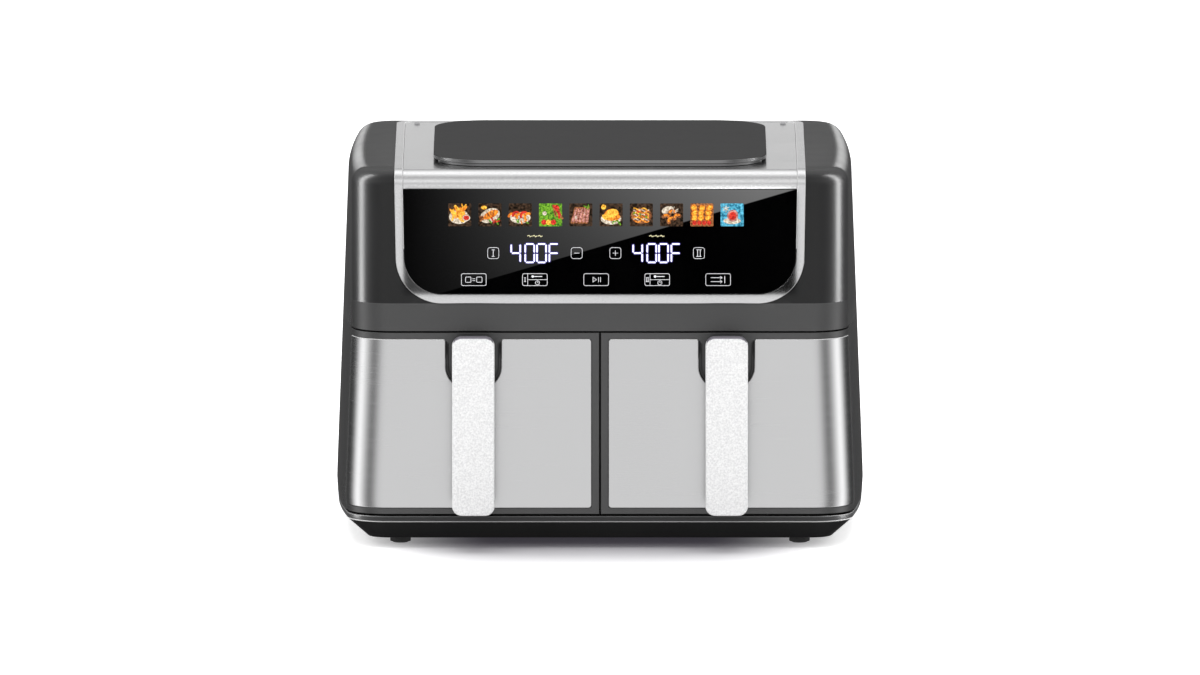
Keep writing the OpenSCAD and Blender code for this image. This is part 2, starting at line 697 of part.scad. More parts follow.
sensor_r = 2;
sensor_drop = 14;
sensor_l = 22;
sensor_flange = 2.5;
sensor_y = chamber_y0 + 7 * sensor_r;
module chamber() color(steel) difference() {
    union() {
        difference() {
            block([chamber_x0, chamber_y0, chamber_z0], [chamber_x1, chamber_y1, roof_z]);
            block([open_x0, chamber_y0 + sheet, open_z0], [open_x1, chamber_y1 - sheet, roof_z - sheet]);
        }
        for (x = [[open_x0, open_x0 + rail_w], [open_x1 - rail_w, open_x1]])
            block([x[0], chamber_y0, rail_z0], [x[1], chamber_y1 - sheet, rail_z0 + rail_h]);
    }
    block([open_x0, chamber_y0 - past, open_z0], [open_x0 + rail_w, chamber_y0 + 2 * sheet, rail_z0]);
    block(
        [open_x0 + rail_w, chamber_y0 - past, open_z0],
        [open_x1 - rail_w, chamber_y0 + 2 * sheet, open_z1]);
    block([open_x1 - rail_w, chamber_y0 - past, open_z0], [open_x1, chamber_y0 + 2 * sheet, rail_z0]);
    block([open_x0, chamber_y0 - past, rail_z0 + rail_h], [open_x1, chamber_y0 + 2 * sheet, open_z1]);
    translate([cell_x, pan_y, roof_z - 2 * sheet]) cylinder(r = well_r - well_lap, h = 3 * sheet);
    translate([cell_x, sensor_y, roof_z - 2 * sheet]) cylinder(r = sensor_r + touch / 2, h = 3 * sheet);
    block([cell_x - duct_half + 3, chamber_y1 - 2 * sheet, duct_z0 + 3],
          [cell_x + duct_half - 3, chamber_y1 + past, duct_z0 + duct_h - 3]);
}

shaft_hole_r = shaft_r + 2.5;
terminal_x = 3 * terminal_r;
well_lap = 2;
terminal_y = well_r - well_lap - terminal_r - 1;
module fan_well() translate([cell_x, pan_y, roof_z]) color(steel) difference() {
    union() {
        cylinder(r = well_r + sheet, h = well_h);
        cylinder(r = well_r + well_flange, h = sheet);
    }
    translate([0, 0, -past]) cylinder(r = well_r, h = well_h - sheet + past);
    cylinder(r = shaft_hole_r, h = 2 * well_h);
    for (sx = [-1, 1])
        translate([sx * terminal_x, terminal_y, 0])
        cylinder(r = terminal_r + touch, h = 2 * well_h);
}

module ring(r, wire) rotate_extrude($fn = 64) translate([r, 0]) circle(r = wire);
heater_inner = 0.64 * heater_ring;
module heater() translate([cell_x, pan_y, roof_z - heater_drop]) color([0.35, 0.33, 0.32]) union() {
    ring(heater_ring, heater_r);
    ring(heater_inner, heater_r);
    for (a = [30, 150, 270]) rotate([0, 0, a]) translate([heater_inner, 0, 0]) rotate([0, 90, 0])
        cylinder(r = heater_r * 0.6, h = heater_ring - heater_inner);
    for (sx = [-1, 1]) {
        bar_y(terminal_r * 0.9, sx * terminal_x, -0.4, heater_ring - 2, terminal_y);
        translate([sx * terminal_x, terminal_y, -2]) cylinder(r = terminal_r, h = heater_drop + well_h + 10);
    }
}

guard_rings = [24, 49];
guard_hub_r = 9;
guard_spokes = 8;
module heater_guard() translate([cell_x, pan_y, roof_z - guard_drop]) color(steel) union() {
    ring(guard_r, guard_wire);
    for (r = guard_rings) ring(r, guard_wire);
    translate([0, 0, -guard_wire]) cylinder(r = guard_hub_r, h = guard_wire);
    for (i = [0:guard_spokes - 1]) rotate([0, 0, i * 360 / guard_spokes])
        translate([guard_hub_r - 2, 0, -guard_wire * 0.6]) rotate([0, 90, 0])
            cylinder(r = guard_wire * 0.8, h = guard_r - guard_hub_r + 2);
    for (a = [22.5:90:292.5]) rotate([0, 0, a]) translate([guard_r, 0, 0])
        cylinder(r = guard_wire * 0.9, h = guard_drop - sheet);
}

module temperature_sensors() color(silver) for (sx = [-1, 1]) translate([sx * cell_x, sensor_y, roof_z]) {
    translate([0, 0, -sensor_drop]) cylinder(r = sensor_r, h = sensor_l);
    cylinder(r = sensor_r + sensor_flange, h = sensor_flange);
}

// ---------------------------------------------------------------- motors and fans
plate_z = roof_z + post_h;
post_r = 3.5;
post_inset = 8;
plate_x = chamber_x1 - post_inset;
plate_y0 = chamber_y0 + 2 * post_inset;
plate_y1 = chamber_y1 - post_inset;
plate_d = plate_y1 - plate_y0;
post_places = [for (sx = [-1, 1], x = [chamber_x0 + post_inset, plate_x - post_inset],
    y = [plate_y0 + post_inset, plate_y1 - post_inset]) [sx * x, y]];
module motor_plate() color(steel) difference() {
    union() {
        block([-plate_x, plate_y0, plate_z], [plate_x, plate_y1, plate_z + sheet]);
        for (p = post_places) translate([p.x, p.y, roof_z]) cylinder(r = post_r, h = post_h);
    }
    for (sx = [-1, 1]) {
        translate([sx * cell_x, pan_y, plate_z - past]) cylinder(r = motor_r * 0.6, h = 2 * past + sheet);
        for (dx = [-1, 1]) translate([sx * (cell_x + dx * terminal_x), pan_y + terminal_y, plate_z - past])
            cylinder(r = 1.4 * terminal_r, h = 2 * past + sheet);
    }
}

motor_z = plate_z + sheet;
cooler_h = 12;
cooler_lift = 6;
cooler_z = body_h - wall - fan_head - cooler_h;
motor_top = cooler_z - cooler_lift;
motor_h = motor_top - motor_z;
module motor() translate([cell_x, pan_y, motor_z]) color([0.45, 0.45, 0.47]) difference() {
    union() {
        cylinder(r = motor_r + 7, h = 2);
        cylinder(r = motor_r, h = motor_h - 4);
        cylinder(r = motor_r / 2, h = motor_h);
    }
    translate([0, 0, -past]) cylinder(r = shaft_r + run_gap, h = motor_h + 2 * past);
    for (a = [60, 180, 300]) rotate([0, 0, a]) translate([motor_r + 3.5, 0, -past]) cylinder(r = 1.6, h = 4);
}

fan_r = terminal_y - terminal_r - fan_gap;
fan_z = roof_z + well_h - sheet - 2 - fan_h;
hub_gap = 0.02;
module fan_shaft() translate([cell_x, pan_y, fan_z - 2]) color(silver)
    cylinder(r = shaft_r, h = cooler_z + cooler_h - fan_z + 4);

module convection_fan() translate([cell_x, pan_y, fan_z]) color(steel) difference() {
    union() {
        cylinder(r = 9, h = fan_h);
        translate([0, 0, fan_h - sheet]) cylinder(r = fan_r, h = sheet);
        for (i = [0:fan_blades - 1]) rotate([0, 0, i * 360 / fan_blades])
            translate([7, -0.6, 0]) cube([fan_r - 8, sheet, fan_h - sheet / 2]);
    }
    translate([0, 0, -past]) cylinder(r = shaft_r + hub_gap, h = fan_h + 2 * past);
}

blade_pitch = 32;
blade_root = 8;
blade_w = 16;
blade_t = 1.4;
module cooling_fan() translate([cell_x, pan_y, cooler_z]) color([0.25, 0.25, 0.26]) difference() {
    union() {
        cylinder(r = 10, h = cooler_h);
        for (i = [0:cooler_blades - 1]) rotate([0, 0, i * 360 / cooler_blades])
            translate([blade_root, 0, cooler_h / 2]) rotate([blade_pitch, 0, 0])
                translate([0, -blade_w / 2, -blade_t / 2]) cube([cooler_r - blade_root, blade_w, blade_t]);
    }
    translate([0, 0, -past]) cylinder(r = shaft_r + hub_gap, h = cooler_h + 2 * past);
}

board_stilt = 8;
board_z = motor_z + board_stilt;
board_top = board_z + board_t;
board_half_w = cell_x - cooler_r - 7;
board_y1 = pan_y + plate_d / 3;
board_y2 = pan_y - plate_d / 3;
relay = [0.35 * board_half_w, 20, 15];
coil = [0.7 * board_half_w, 28, 22];
can_r = 7;
can_h = 18;
module power_board() union() {
    color([0.05, 0.3, 0.15]) block([-board_half_w, board_y2, board_z], [board_half_w, board_y1, board_top]);
    color(silver) for (sx = [-1, 1], y = [board_y2 + boss_r, board_y1 - boss_r])
        translate([sx * (board_half_w - boss_r), y, motor_z]) cylinder(r = boss_r / 2, h = board_stilt);
    color([0.1, 0.25, 0.6]) for (x = [-board_half_w / 2, board_half_w / 4])
        translate([x, board_y2 + 2 * boss_r, board_top]) cube(relay);
    color("gold") translate([-coil.x / 2, pan_y - coil.y / 2, board_top]) cube(coil);
    color(coated) for (x = [-board_half_w / 2, board_half_w / 2])
        translate([x, board_y1 - 3 * can_r, board_top]) cylinder(r = can_r, h = can_h);
}

// ---------------------------------------------------------------- door switches
switch_x = centre_gap / 4;
switch_z = 0.6 * open_z1;
switch_w = centre_gap / 2 - 2 * touch;
switch_d = 10;
plunger_r = 1.5;
plunger_travel = 1.5;
plunger_seat = 5;
module switch_body() color(coated) difference() {
    block([switch_x - switch_w / 2, chamber_y0, switch_z - switch_d],
          [switch_x + switch_w / 2, chamber_y0 + switch_d, switch_z + switch_d]);
    bar_y(plunger_r + touch / 2, switch_x, switch_z, chamber_y0 - past,
          chamber_y0 + plunger_seat + plunger_travel + touch);
}
module plunger() color("crimson")
    bar_y(plunger_r, switch_x, switch_z, drawer_y1 + touch, chamber_y0 + plunger_seat);

// ---------------------------------------------------------------- drawers
drawer_y1 = part_y - parting;
drawer_x0 = seam / 2;
back_t = wall;
skin_z0 = drawer_z0 + skin_border;
skin_z1 = drawer_z1 - skin_border;
skin_x0 = drawer_x0 + skin_inner_border;
handle_z0 = drawer_z0 + handle_foot;
handle_z1 = drawer_z1 + seam / 2;
grip_y0 = front_y - handle_reach;
grip_y1 = grip_y0 + handle_t;
core_y0 = grip_y0 + handle_skin;
core_half = handle_w / 2 - handle_skin;
upper_arm_z0 = handle_z1 - handle_skin - arm_h;
lower_arm_z0 = handle_z0 + handle_skin + touch;

// The pocket and the arms in the front view.
module pocket_shape() polygon(concat(
    arc([handle_x - pocket_w / 2 + pocket_r, skin_z1 - pocket_h + pocket_r], pocket_r, 180, 270),
    arc([handle_x + pocket_w / 2 - pocket_r, skin_z1 - pocket_h + pocket_r], pocket_r, 270, 360),
    [[handle_x + pocket_w / 2, skin_z1 + past], [handle_x - pocket_w / 2, skin_z1 + past]]
));
module arm_shape(z0, grow) translate([handle_x - arm_w / 2 - grow, z0 - grow])
    square([arm_w + 2 * grow, arm_h + 2 * grow]);

// The scooped recess: flush at its top and deepest at its foot, grown for the wall behind it.
module scoop(grow) intersection() {
    side_prism(0, body_w) polygon([[front_y - past, skin_z1 + grow], [front_y + grow, skin_z1 + grow],
        [front_y + pocket_depth + grow, skin_z1 - pocket_h - grow],
        [front_y - past, skin_z1 - pocket_h - grow]]);
    front_prism(front_y - past, part_y) offset_pocket(grow);
}
module offset_pocket(grow) if (grow == 0) pocket_shape();
    else translate([handle_x - pocket_w / 2 - grow, skin_z1 - pocket_h - grow])
        square([pocket_w + 2 * grow, pocket_h + 2 * grow]);

module skin_region(grow) front_prism(front_y - past, part_y) difference() {
    translate([skin_x0 - grow, skin_z0 - grow]) square([body_w, skin_z1 - skin_z0 + 2 * grow]);
    pocket_shape();
}

drawer_heights = [drawer_z0, widest_z, drawer_z1];
module drawer_front() color(black) difference() {
    union() {
        difference() {
            intersection() {
                casing(drawer_heights);
                block([drawer_x0, front_y - past, drawer_z0], [body_w, drawer_y1, drawer_z1]);
            }
            intersection() {
                casing(drawer_heights, wall);
                block([drawer_x0 + wall, front_y, drawer_z0 + wall], [body_w, part_y, drawer_z1 - wall]);
            }
        }
        intersection() {
            scoop(wall);
            block([drawer_x0, front_y, drawer_z0 + wall / 2], [body_w, part_y, drawer_z1 - wall / 2]);
        }
    }
    scoop(0);
    intersection() {
        difference() {
            casing([drawer_z0 - past, widest_z, drawer_z1 + past], -past);
            casing([drawer_z0 - past, widest_z, drawer_z1 + past], skin_t + touch / 3);
        }
        skin_region(touch / 3);
        block([0, front_y - 2 * past, 0], [body_w, drawer_y1 - skin_end, body_h]);
    }
    front_prism(front_y - past, part_y) {
        arm_shape(upper_arm_z0, touch / 2);
        arm_shape(lower_arm_z0, touch / 2);
    }
}

module steel_skin() color(steel) difference() {
    intersection() {
        difference() {
            casing(drawer_heights);
            casing([drawer_z0 - past, widest_z, drawer_z1 + past], skin_t);
        }
        skin_region(0);
        block([0, front_y - past, 0], [body_w, drawer_y1 - skin_end - touch / 3, body_h]);
    }
    front_prism(front_y - past, part_y) arm_shape(lower_arm_z0, touch / 2);
}

drawer_screw_places = [[handle_x, upper_arm_z0 + arm_h / 2], [handle_x, lower_arm_z0 + arm_h / 2]];
module drawer_back() color(black) difference() {
    intersection() {
        casing(drawer_heights, wall + touch / 2);
        block([drawer_x0 + wall + touch / 2, drawer_y1 - back_t, drawer_z0 + wall + touch / 2],
              [body_w, drawer_y1, drawer_z1 - wall - touch / 2]);
    }
    for (p = drawer_screw_places) {
        bar_y(screw_r + touch / 2, p.x, p.y, drawer_y1 - 2 * back_t, drawer_y1 + past);
        bar_y(screw_head_r + touch / 2, p.x, p.y, drawer_y1 - screw_head_h - touch / 2, drawer_y1 + past);
    }
    for (p = pan_screw_places)
        bar_y(screw_r + touch / 2, p.x, p.y, drawer_y1 - 2 * back_t, drawer_y1 + past);
}

module handle_core() color(coated) difference() {
    union() {
        block([handle_x - core_half + touch, core_y0 + touch, handle_z0 + handle_skin + touch],
              [handle_x + core_half - touch, grip_y1, handle_z1 - handle_skin - touch]);
        front_prism(grip_y1 - past, drawer_y1 - back_t) {
            arm_shape(upper_arm_z0, 0);
            arm_shape(lower_arm_z0, 0);
        }
    }
    for (p = drawer_screw_places) bar_y(screw_r + hub_gap, p.x, p.y, drawer_y1 - back_t - 13, drawer_y1);
}

handle_round = 7.5;
grip_outline = [for (p = round_rect(handle_w, handle_z1 - handle_z0, handle_round))
    p + [handle_x, (handle_z0 + handle_z1) / 2]];
module handle_cover() color([0.9, 0.9, 0.9]) difference() {
    front_prism(grip_y0, grip_y1 - touch) polygon(grip_outline);
    block([handle_x - core_half, core_y0, handle_z0 + handle_skin],
          [handle_x + core_half, grip_y1 + past, handle_z1 - handle_skin]);
}

module drawer_screws() color(silver) {
    for (p = drawer_screw_places) {
        bar_y(screw_r, p.x, p.y, drawer_y1 - back_t - 12, drawer_y1 - screw_head_h);
        bar_y(screw_head_r, p.x, p.y, drawer_y1 - screw_head_h - touch / 6, drawer_y1);
    }
    for (p = pan_screw_places) {
        bar_y(screw_r, p.x, p.y, drawer_y1 - back_t - 4, drawer_y1 + pan_wall);
        bar_y(screw_head_r, p.x, p.y, drawer_y1 + pan_wall, drawer_y1 + pan_wall + screw_head_h);
    }
}

// ---------------------------------------------------------------- pans and trays
module pan_solid(inset) {
    r = pan_foot_r - inset;
    z0 = pan_z0 + inset;
    top = inset > 0 ? pan_z1 + past : pan_z1;
    loft(concat(
        [for (i = [0:4]) let (a = 90 * i / 4)
            [z0 + r * (1 - cos(a)), round_rect(pan_w - 2 * inset - 2 * r * (1 - sin(a)),
                pan_d - 2 * inset - 2 * r * (1 - sin(a)), pan_r - inset - r * (1 - sin(a)))]],
        [[top, round_rect(pan_w - 2 * inset, pan_d - 2 * inset, pan_r - inset)]]
    ));
}

module pan() translate([cell_x, pan_y, 0]) color(coated) difference() {
    union() {
        pan_solid(0);
        intersection() {
            translate([0, 0, pan_z1 - pan_rim_t])
                round_plate(pan_w + 2 * pan_rim, pan_d + 2 * pan_rim, pan_r + pan_rim, pan_rim_t);
            block([-pan_w, -pan_d / 2, 0], [pan_w, pan_d, body_h]);
        }
    }
    pan_solid(pan_wall);
    for (p = pan_screw_places)
        bar_y(screw_r + touch / 2, p.x - cell_x, p.y, -pan_d / 2 - past, -pan_d / 2 + 2 * pan_wall);
}

tray_z = pan_z0 + pan_wall + tray_lift;
tray_w = pan_w - 2 * (pan_wall + tray_gap);
tray_d = pan_d - 2 * (pan_wall + tray_gap);
tray_r = pan_r - pan_wall - tray_gap;
tray_nx = floor((tray_w / 2 - tray_hole_r - 8) / tray_pitch);
tray_ny = floor((tray_d / 2 - tray_hole_r - 8) / tray_pitch);
tray_leg_r = 3.5;
tray_leg_inset = 18;
bumper_l = 14;
bumper_places = [for (sx = [-1, 1], y = [-0.3, 0.3]) [sx, y * tray_d]];
module tray() translate([cell_x, pan_y, 0]) color(coated) union() {
    translate([0, 0, tray_z]) linear_extrude(tray_t) difference() {
        polygon(round_rect(tray_w, tray_d, tray_r));
        circle(r = finger_hole_r);
        for (i = [-tray_nx:tray_nx], j = [-tray_ny:tray_ny])
            if (norm([i, j]) * tray_pitch > finger_hole_r + 2 * tray_hole_r)
                translate([i, j] * tray_pitch) circle(r = tray_hole_r);
    }
    translate([0, 0, tray_z - tray_skirt]) linear_extrude(tray_skirt) difference() {
        polygon(round_rect(tray_w, tray_d, tray_r));
        polygon(round_rect(tray_w - 2 * tray_t, tray_d - 2 * tray_t, tray_r - tray_t));
    }
    for (sx = [-1, 1], sy = [-1, 1])
        translate([
            sx * (tray_w / 2 - tray_leg_inset),
            sy * (tray_d / 2 - tray_leg_inset),
            pan_z0 + pan_wall + touch])
            cylinder(r = tray_leg_r, h = tray_lift - touch);
}

bumper_wrap = 2;
bumper_foot = 1.5;
bumper_top = 0.4;
slit_gap = touch / 6;

module tray_bumpers() translate([cell_x, pan_y, 0]) color([0.12, 0.12, 0.12]) for (p = bumper_places) {
    x0 = tray_w / 2 + slit_gap;
    x1 = tray_w / 2 + tray_gap - touch;
    translate([0, p.y, 0])
    mirror([p.x > 0 ? 0 : 1, 0, 0])
    difference() {
        block(
            [x0 - tray_t - bumper_wrap, -bumper_l / 2, tray_z - tray_skirt - bumper_foot],
            [x1, bumper_l / 2, tray_z - bumper_top]);
        block(
            [tray_w / 2 - tray_t - slit_gap, -bumper_l, tray_z - tray_skirt - slit_gap],
            [x0, bumper_l, tray_z]);
    }
}

base_tray();
feet();
left() side_shell(false);  // left_side_shell
side_shell(true);  // right_side_shell
upper_housing();
front_fascia();
back_panel();
front_bezel();
trim_frame();
deck_plate();
top_vent_cover();
display_glass();
display_carrier();
touch_board();
power_board();
motor_plate();
exhaust_ducts();
cord_gland();
terminal_block();
temperature_sensors();
casing_screws();
left() chamber();  // left_chamber
chamber();  // right_chamber
left() fan_well();  // left_fan_well
fan_well();  // right_fan_well
left() heater();  // left_heater
heater();  // right_heater
left() heater_guard();  // left_heater_guard
heater_guard();  // right_heater_guard
left() motor();  // left_motor
motor();  // right_motor
left() switch_body();  // left_switch
switch_body();  // right_switch
left() plunger();  // left_plunger
plunger();  // right_plunger
left() fan_shaft();  // left_fan_shaft
fan_shaft();  // right_fan_shaft
left() convection_fan();  // left_convection_fan
convection_fan();  // right_convection_fan
left() cooling_fan();  // left_cooling_fan
cooling_fan();  // right_cooling_fan
left() drawer_front();  // left_drawer_front
drawer_front();  // right_drawer_front
left() drawer_back();  // left_drawer_back
drawer_back();  // right_drawer_back
left() steel_skin();  // left_steel_skin
steel_skin();  // right_steel_skin
left() handle_core();  // left_handle_core
handle_core();  // right_handle_core
left() handle_cover();  // left_handle_cover
handle_cover();  // right_handle_cover
left() pan();  // left_pan
pan();  // right_pan
left() drawer_screws();  // left_drawer_screws
drawer_screws();  // right_drawer_screws
left() tray();  // left_tray
tray();  // right_tray
left() tray_bumpers();  // left_tray_bumpers
tray_bumpers();  // right_tray_bumpers
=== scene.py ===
import json
import math
import random
from functools import lru_cache

import bmesh
import bpy
import numpy as np
from mathutils import Matrix, Vector
from mathutils.geometry import delaunay_2d_cdt

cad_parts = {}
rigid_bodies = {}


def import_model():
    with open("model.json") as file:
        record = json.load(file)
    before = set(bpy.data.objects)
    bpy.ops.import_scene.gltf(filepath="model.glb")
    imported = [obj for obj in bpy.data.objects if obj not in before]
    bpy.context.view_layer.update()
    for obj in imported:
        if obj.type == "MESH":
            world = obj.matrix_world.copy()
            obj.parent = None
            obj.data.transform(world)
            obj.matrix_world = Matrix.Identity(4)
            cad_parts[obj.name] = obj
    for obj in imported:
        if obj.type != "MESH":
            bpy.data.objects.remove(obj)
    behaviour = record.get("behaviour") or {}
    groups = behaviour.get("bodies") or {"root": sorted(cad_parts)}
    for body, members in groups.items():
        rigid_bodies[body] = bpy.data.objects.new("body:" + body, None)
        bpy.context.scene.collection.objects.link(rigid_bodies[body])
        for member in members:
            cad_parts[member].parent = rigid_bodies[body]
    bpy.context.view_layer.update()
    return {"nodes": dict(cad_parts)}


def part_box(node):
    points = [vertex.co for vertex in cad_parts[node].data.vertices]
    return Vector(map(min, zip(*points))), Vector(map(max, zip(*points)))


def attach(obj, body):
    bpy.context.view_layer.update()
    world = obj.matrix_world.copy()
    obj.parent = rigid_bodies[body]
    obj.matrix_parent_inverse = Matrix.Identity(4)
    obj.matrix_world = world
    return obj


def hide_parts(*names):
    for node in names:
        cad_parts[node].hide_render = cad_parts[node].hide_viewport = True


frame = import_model()

# ---------------------------------------------------------------- sizes, in millimetres
MM = 0.001
SIDES = (("left", -1), ("right", 1))


def span(node):
    """Lowest and highest corner of a CAD node."""
    low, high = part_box(node)
    return low / MM, high / MM


fascia_low, fascia_high = span("front_fascia")
housing_low, housing_high = span("upper_housing")
drawer_low, drawer_high = span("right_drawer_front")
handle_low, handle_high = span("right_handle_cover")
pan_low, pan_high = span("right_pan")
tray_low, tray_high = span("right_tray")
base_low, _ = span("base_tray")
cover_low, cover_high = span("top_vent_cover")
glass_low, glass_high = span("display_glass")
rear_low, rear_high = span("back_panel")
gland_low, gland_high = span("cord_gland")

front_y = fascia_low.y
rear_y = housing_high.y
body_h = fascia_high.z
upper_z0 = fascia_low.z
part_y = housing_low.y          # the casing's front seam
fascia_y1 = fascia_high.y
drawer_z0 = drawer_low.z
drawer_z1 = drawer_high.z
base_top = drawer_z0 - 1.2
foot_h = base_low.z

body_w = 400
widest_z = 36
side_lean = 0.038
side_tuck = 2.4
bow_sag = 7.2
bow_centre = 150
corner_r = 30
shoulder_r = 14
roll_r = 11
band_h = 20.8
panel_set = 2.5
base_slope = 15
lip_z = base_top - 5.5          # where the casing ends and the base slopes in
crease_z = base_top - 4.4
wall = 3
parting = 0.4
bow_y = front_y + bow_centre
band_z = upper_z0 + band_h

frame_half_w = 155.3
frame_band = 6.3
frame_foot = 7
frame_r = 35
frame_proud = 0.8
frame_taper = 0.018             # the frame narrows towards its foot
frame_y1 = rear_y - 19
deck_r = 14
deck_proud = 0.2
glass_z0 = band_z + frame_foot
glass_z1 = glass_high.z
trim_gap = 0.2

skin_t = 0.8
skin_border = 5
skin_inner_border = 5.8
skin_end = 3
skin_r = 2.3
pocket_w = 42.2
pocket_h = 37
pocket_r = 16
pocket_depth = 7
handle_x = (handle_low.x + handle_high.x) / 2

# ---------------------------------------------------------------- the casing's outline
FRONT_RUN = 157                 # lengths along the outline that each stretch is given
CORNER_RUN = 50
SIDE_RUN = 237
REAR_CORNER_RUN = 48
REAR_RUN = 157
HALF_RUN = FRONT_RUN + CORNER_RUN + SIDE_RUN + REAR_CORNER_RUN + REAR_RUN


def soft_min(a, b, width):
    """The lower of two values, with a small rounding where they cross."""
    return (a + b - math.hypot(a - b, width)) / 2


def half_w(z):
    above = body_w / 2 - side_lean * (z - widest_z)
    below = body_w / 2 - side_tuck * (widest_z - z) / (widest_z - foot_h)
    return soft_min(above, below, 0.3)


def front_set(z):
    return soft_min(max(0, z - upper_z0) / band_h * panel_set, panel_set, 0.08)


def base_inset(z):
    return base_slope * max(0, lip_z - z) / (lip_z - foot_h)


def bow_r(z):
    return (bow_centre - corner_r) ** 2 / 2 / (bow_sag - side_lean * max(0, z - upper_z0))


@lru_cache(maxsize=None)
def half_outline(z):
    """Centres and angles of the arcs in one half of the outline at a height."""
    reach = bow_r(z) - corner_r
    middle_x = half_w(z) - bow_r(z)
    ends = []
    for y in (front_y + front_set(z) + corner_r, rear_y - corner_r):
        x = middle_x + math.sqrt(reach ** 2 - (y - bow_y) ** 2)
        ends.append((x, y, math.atan2(y - bow_y, x - middle_x)))
    return middle_x, ends[0], ends[1]


def plan_point(run, z, inset=0):
    """The outline's point at a run from the middle of the front, drawn in by an inset.

    A run below nought goes round by the left, one above nought by the right and the rear."""
    side = 1 if run >= 0 else -1
    run = abs(run)
    if run > HALF_RUN:
        side, run = -side, 2 * HALF_RUN - run
    middle_x, (front_x, front_c, front_a), (rear_x, rear_c, rear_a) = half_outline(z)
    r = corner_r - inset
    if run <= FRONT_RUN:
        return side * run, front_c - r
    run -= FRONT_RUN
    flat = front_x - FRONT_RUN
    if run <= CORNER_RUN:
        length = run / CORNER_RUN * (flat + corner_r * (front_a + math.pi / 2))
        if length <= flat:
            return side * (FRONT_RUN + length), front_c - r
        a = (length - flat) / corner_r - math.pi / 2
        return side * (front_x + r * math.cos(a)), front_c + r * math.sin(a)
    run -= CORNER_RUN
    if run <= SIDE_RUN:
        a = front_a + (rear_a - front_a) * run / SIDE_RUN
        bow = bow_r(z) - inset
        return side * (middle_x + bow * math.cos(a)), bow_y + bow * math.sin(a)
    run -= SIDE_RUN
    if run <= REAR_CORNER_RUN:
        a = rear_a + (math.pi / 2 - rear_a) * run / REAR_CORNER_RUN
        return side * (rear_x + r * math.cos(a)), rear_c + r * math.sin(a)
    run -= REAR_CORNER_RUN
    return side * rear_x * (1 - run / REAR_RUN), rear_c + r


def rear_run(x, z):
    """The run at which the flat of the rear reaches x on the right."""
    return HALF_RUN - REAR_RUN * x / half_outline(z)[2][0]


def run_at_depth(y, z):
    """The run at which the right side passes a depth."""
    near, far = FRONT_RUN, FRONT_RUN + CORNER_RUN + SIDE_RUN
    for _ in range(40):
        middle = (near + far) / 2
        if plan_point(middle, z)[1] < y:
            near = middle
        else:
            far = middle
    return near


def casing_surface(edge_r=0.0):
    """The casing's outside, as a function of the run and of a height that goes on over the top edge."""
    edge_z = body_h - edge_r
    quarter = edge_r * math.pi / 2

    def point(run, height):
        if height <= edge_z:
            return Vector((*plan_point(run, height, base_inset(height)), height))
        turn = min((height - edge_z) / edge_r, math.pi / 2)
        inset = edge_r * (1 - math.cos(turn)) + max(0, height - edge_z - quarter)
        return Vector((*plan_point(run, edge_z, inset), edge_z + edge_r * math.sin(turn)))

    return point


def flat_surface(origin, across, up):
    """A flat face through an origin, with its two directions."""
    origin, across, up = Vector(origin), Vector(across), Vector(up)
    return lambda u, v: origin + across * u + up * v


def front_face(y):
    return flat_surface((0, y, 0), (1, 0, 0), (0, 0, 1))


def top_face(z):
    return flat_surface((0, 0, z), (1, 0, 0), (0, 1, 0))


def rear_face(y):
    return flat_surface((0, y, 0), (-1, 0, 0), (0, 0, 1))


# ---------------------------------------------------------------- outlines of flat regions
def arc(centre, r, start, end, steps=12):
    """Points along an arc, angles in degrees."""
    angles = [math.radians(start + (end - start) * i / steps) for i in range(steps + 1)]
    return [Vector((centre[0] + r * math.cos(a), centre[1] + r * math.sin(a))) for a in angles]


def line(start, end, step=4.0):
    """Points from a start up to, but without, the end."""
    start, end = Vector(start), Vector(end)
    count = max(1, math.ceil((end - start).length / step))
    return [start.lerp(end, i / count) for i in range(count)]


def closed_path(stretches, step=4.0):
    """A closed outline through stretches of points, with straight runs between them filled in."""
    loop = []
    for i, stretch in enumerate(stretches):
        loop += stretch[:-1]
        loop += line(stretch[-1], stretches[(i + 1) % len(stretches)][0], step)
    return [p for i, p in enumerate(loop) if (p - loop[i - 1]).length > 1e-4]


def round_rect(x0, x1, y0, y1, r, steps=8, step=4.0):
    return closed_path([
        arc((x1 - r, y0 + r), r, -90, 0, steps), arc((x1 - r, y1 - r), r, 0, 90, steps),
        arc((x0 + r, y1 - r), r, 90, 180, steps), arc((x0 + r, y0 + r), r, 180, 270, steps)], step)


def hole(loop):
    """The same outline, run the other way round."""
    return loop[::-1]


def circle(x, y, r, steps=24):
    return arc((x, y), r, 0, 360, steps)[:-1]


def spaced(start, end, step):
    """Even values from a start to an end, both kept."""
    count = max(1, round(abs(end - start) / step))
    return [start + (end - start) * i / count for i in range(count + 1)]


def inset_loop(loop, distance):
    """A closed outline moved to its left by a distance, with mitred corners."""
    moved = []
    for i, here in enumerate(loop):
        before = (here - loop[i - 1]).normalized()
        after = (loop[(i + 1) % len(loop)] - here).normalized()
        mitre = Vector((-before.y - after.y, before.x + after.x))
        moved.append(here + mitre * (distance / max(0.4, 1 + before.dot(after))))
    return moved


def outward(loop):
    """The unit direction away from the material at each point of a closed outline."""
    ways = []
    for i in range(len(loop)):
        along = (loop[(i + 1) % len(loop)] - loop[i - 1]).normalized()
        ways.append(Vector((along.y, -along.x)))
    return ways


def inside(points, loops):
    """Which of the points lie within the outlines, holes left out."""
    within = np.zeros(len(points), bool)
    for loop in loops:
        a = np.array(loop)
        b = np.roll(a, -1, 0)
        for (ax, ay), (bx, by) in zip(a, b):
            if ay != by:
                crosses = (ay > points[:, 1]) != (by > points[:, 1])
                within ^= crosses & (points[:, 0] < (bx - ax) * (points[:, 1] - ay) / (by - ay) + ax)
    return within


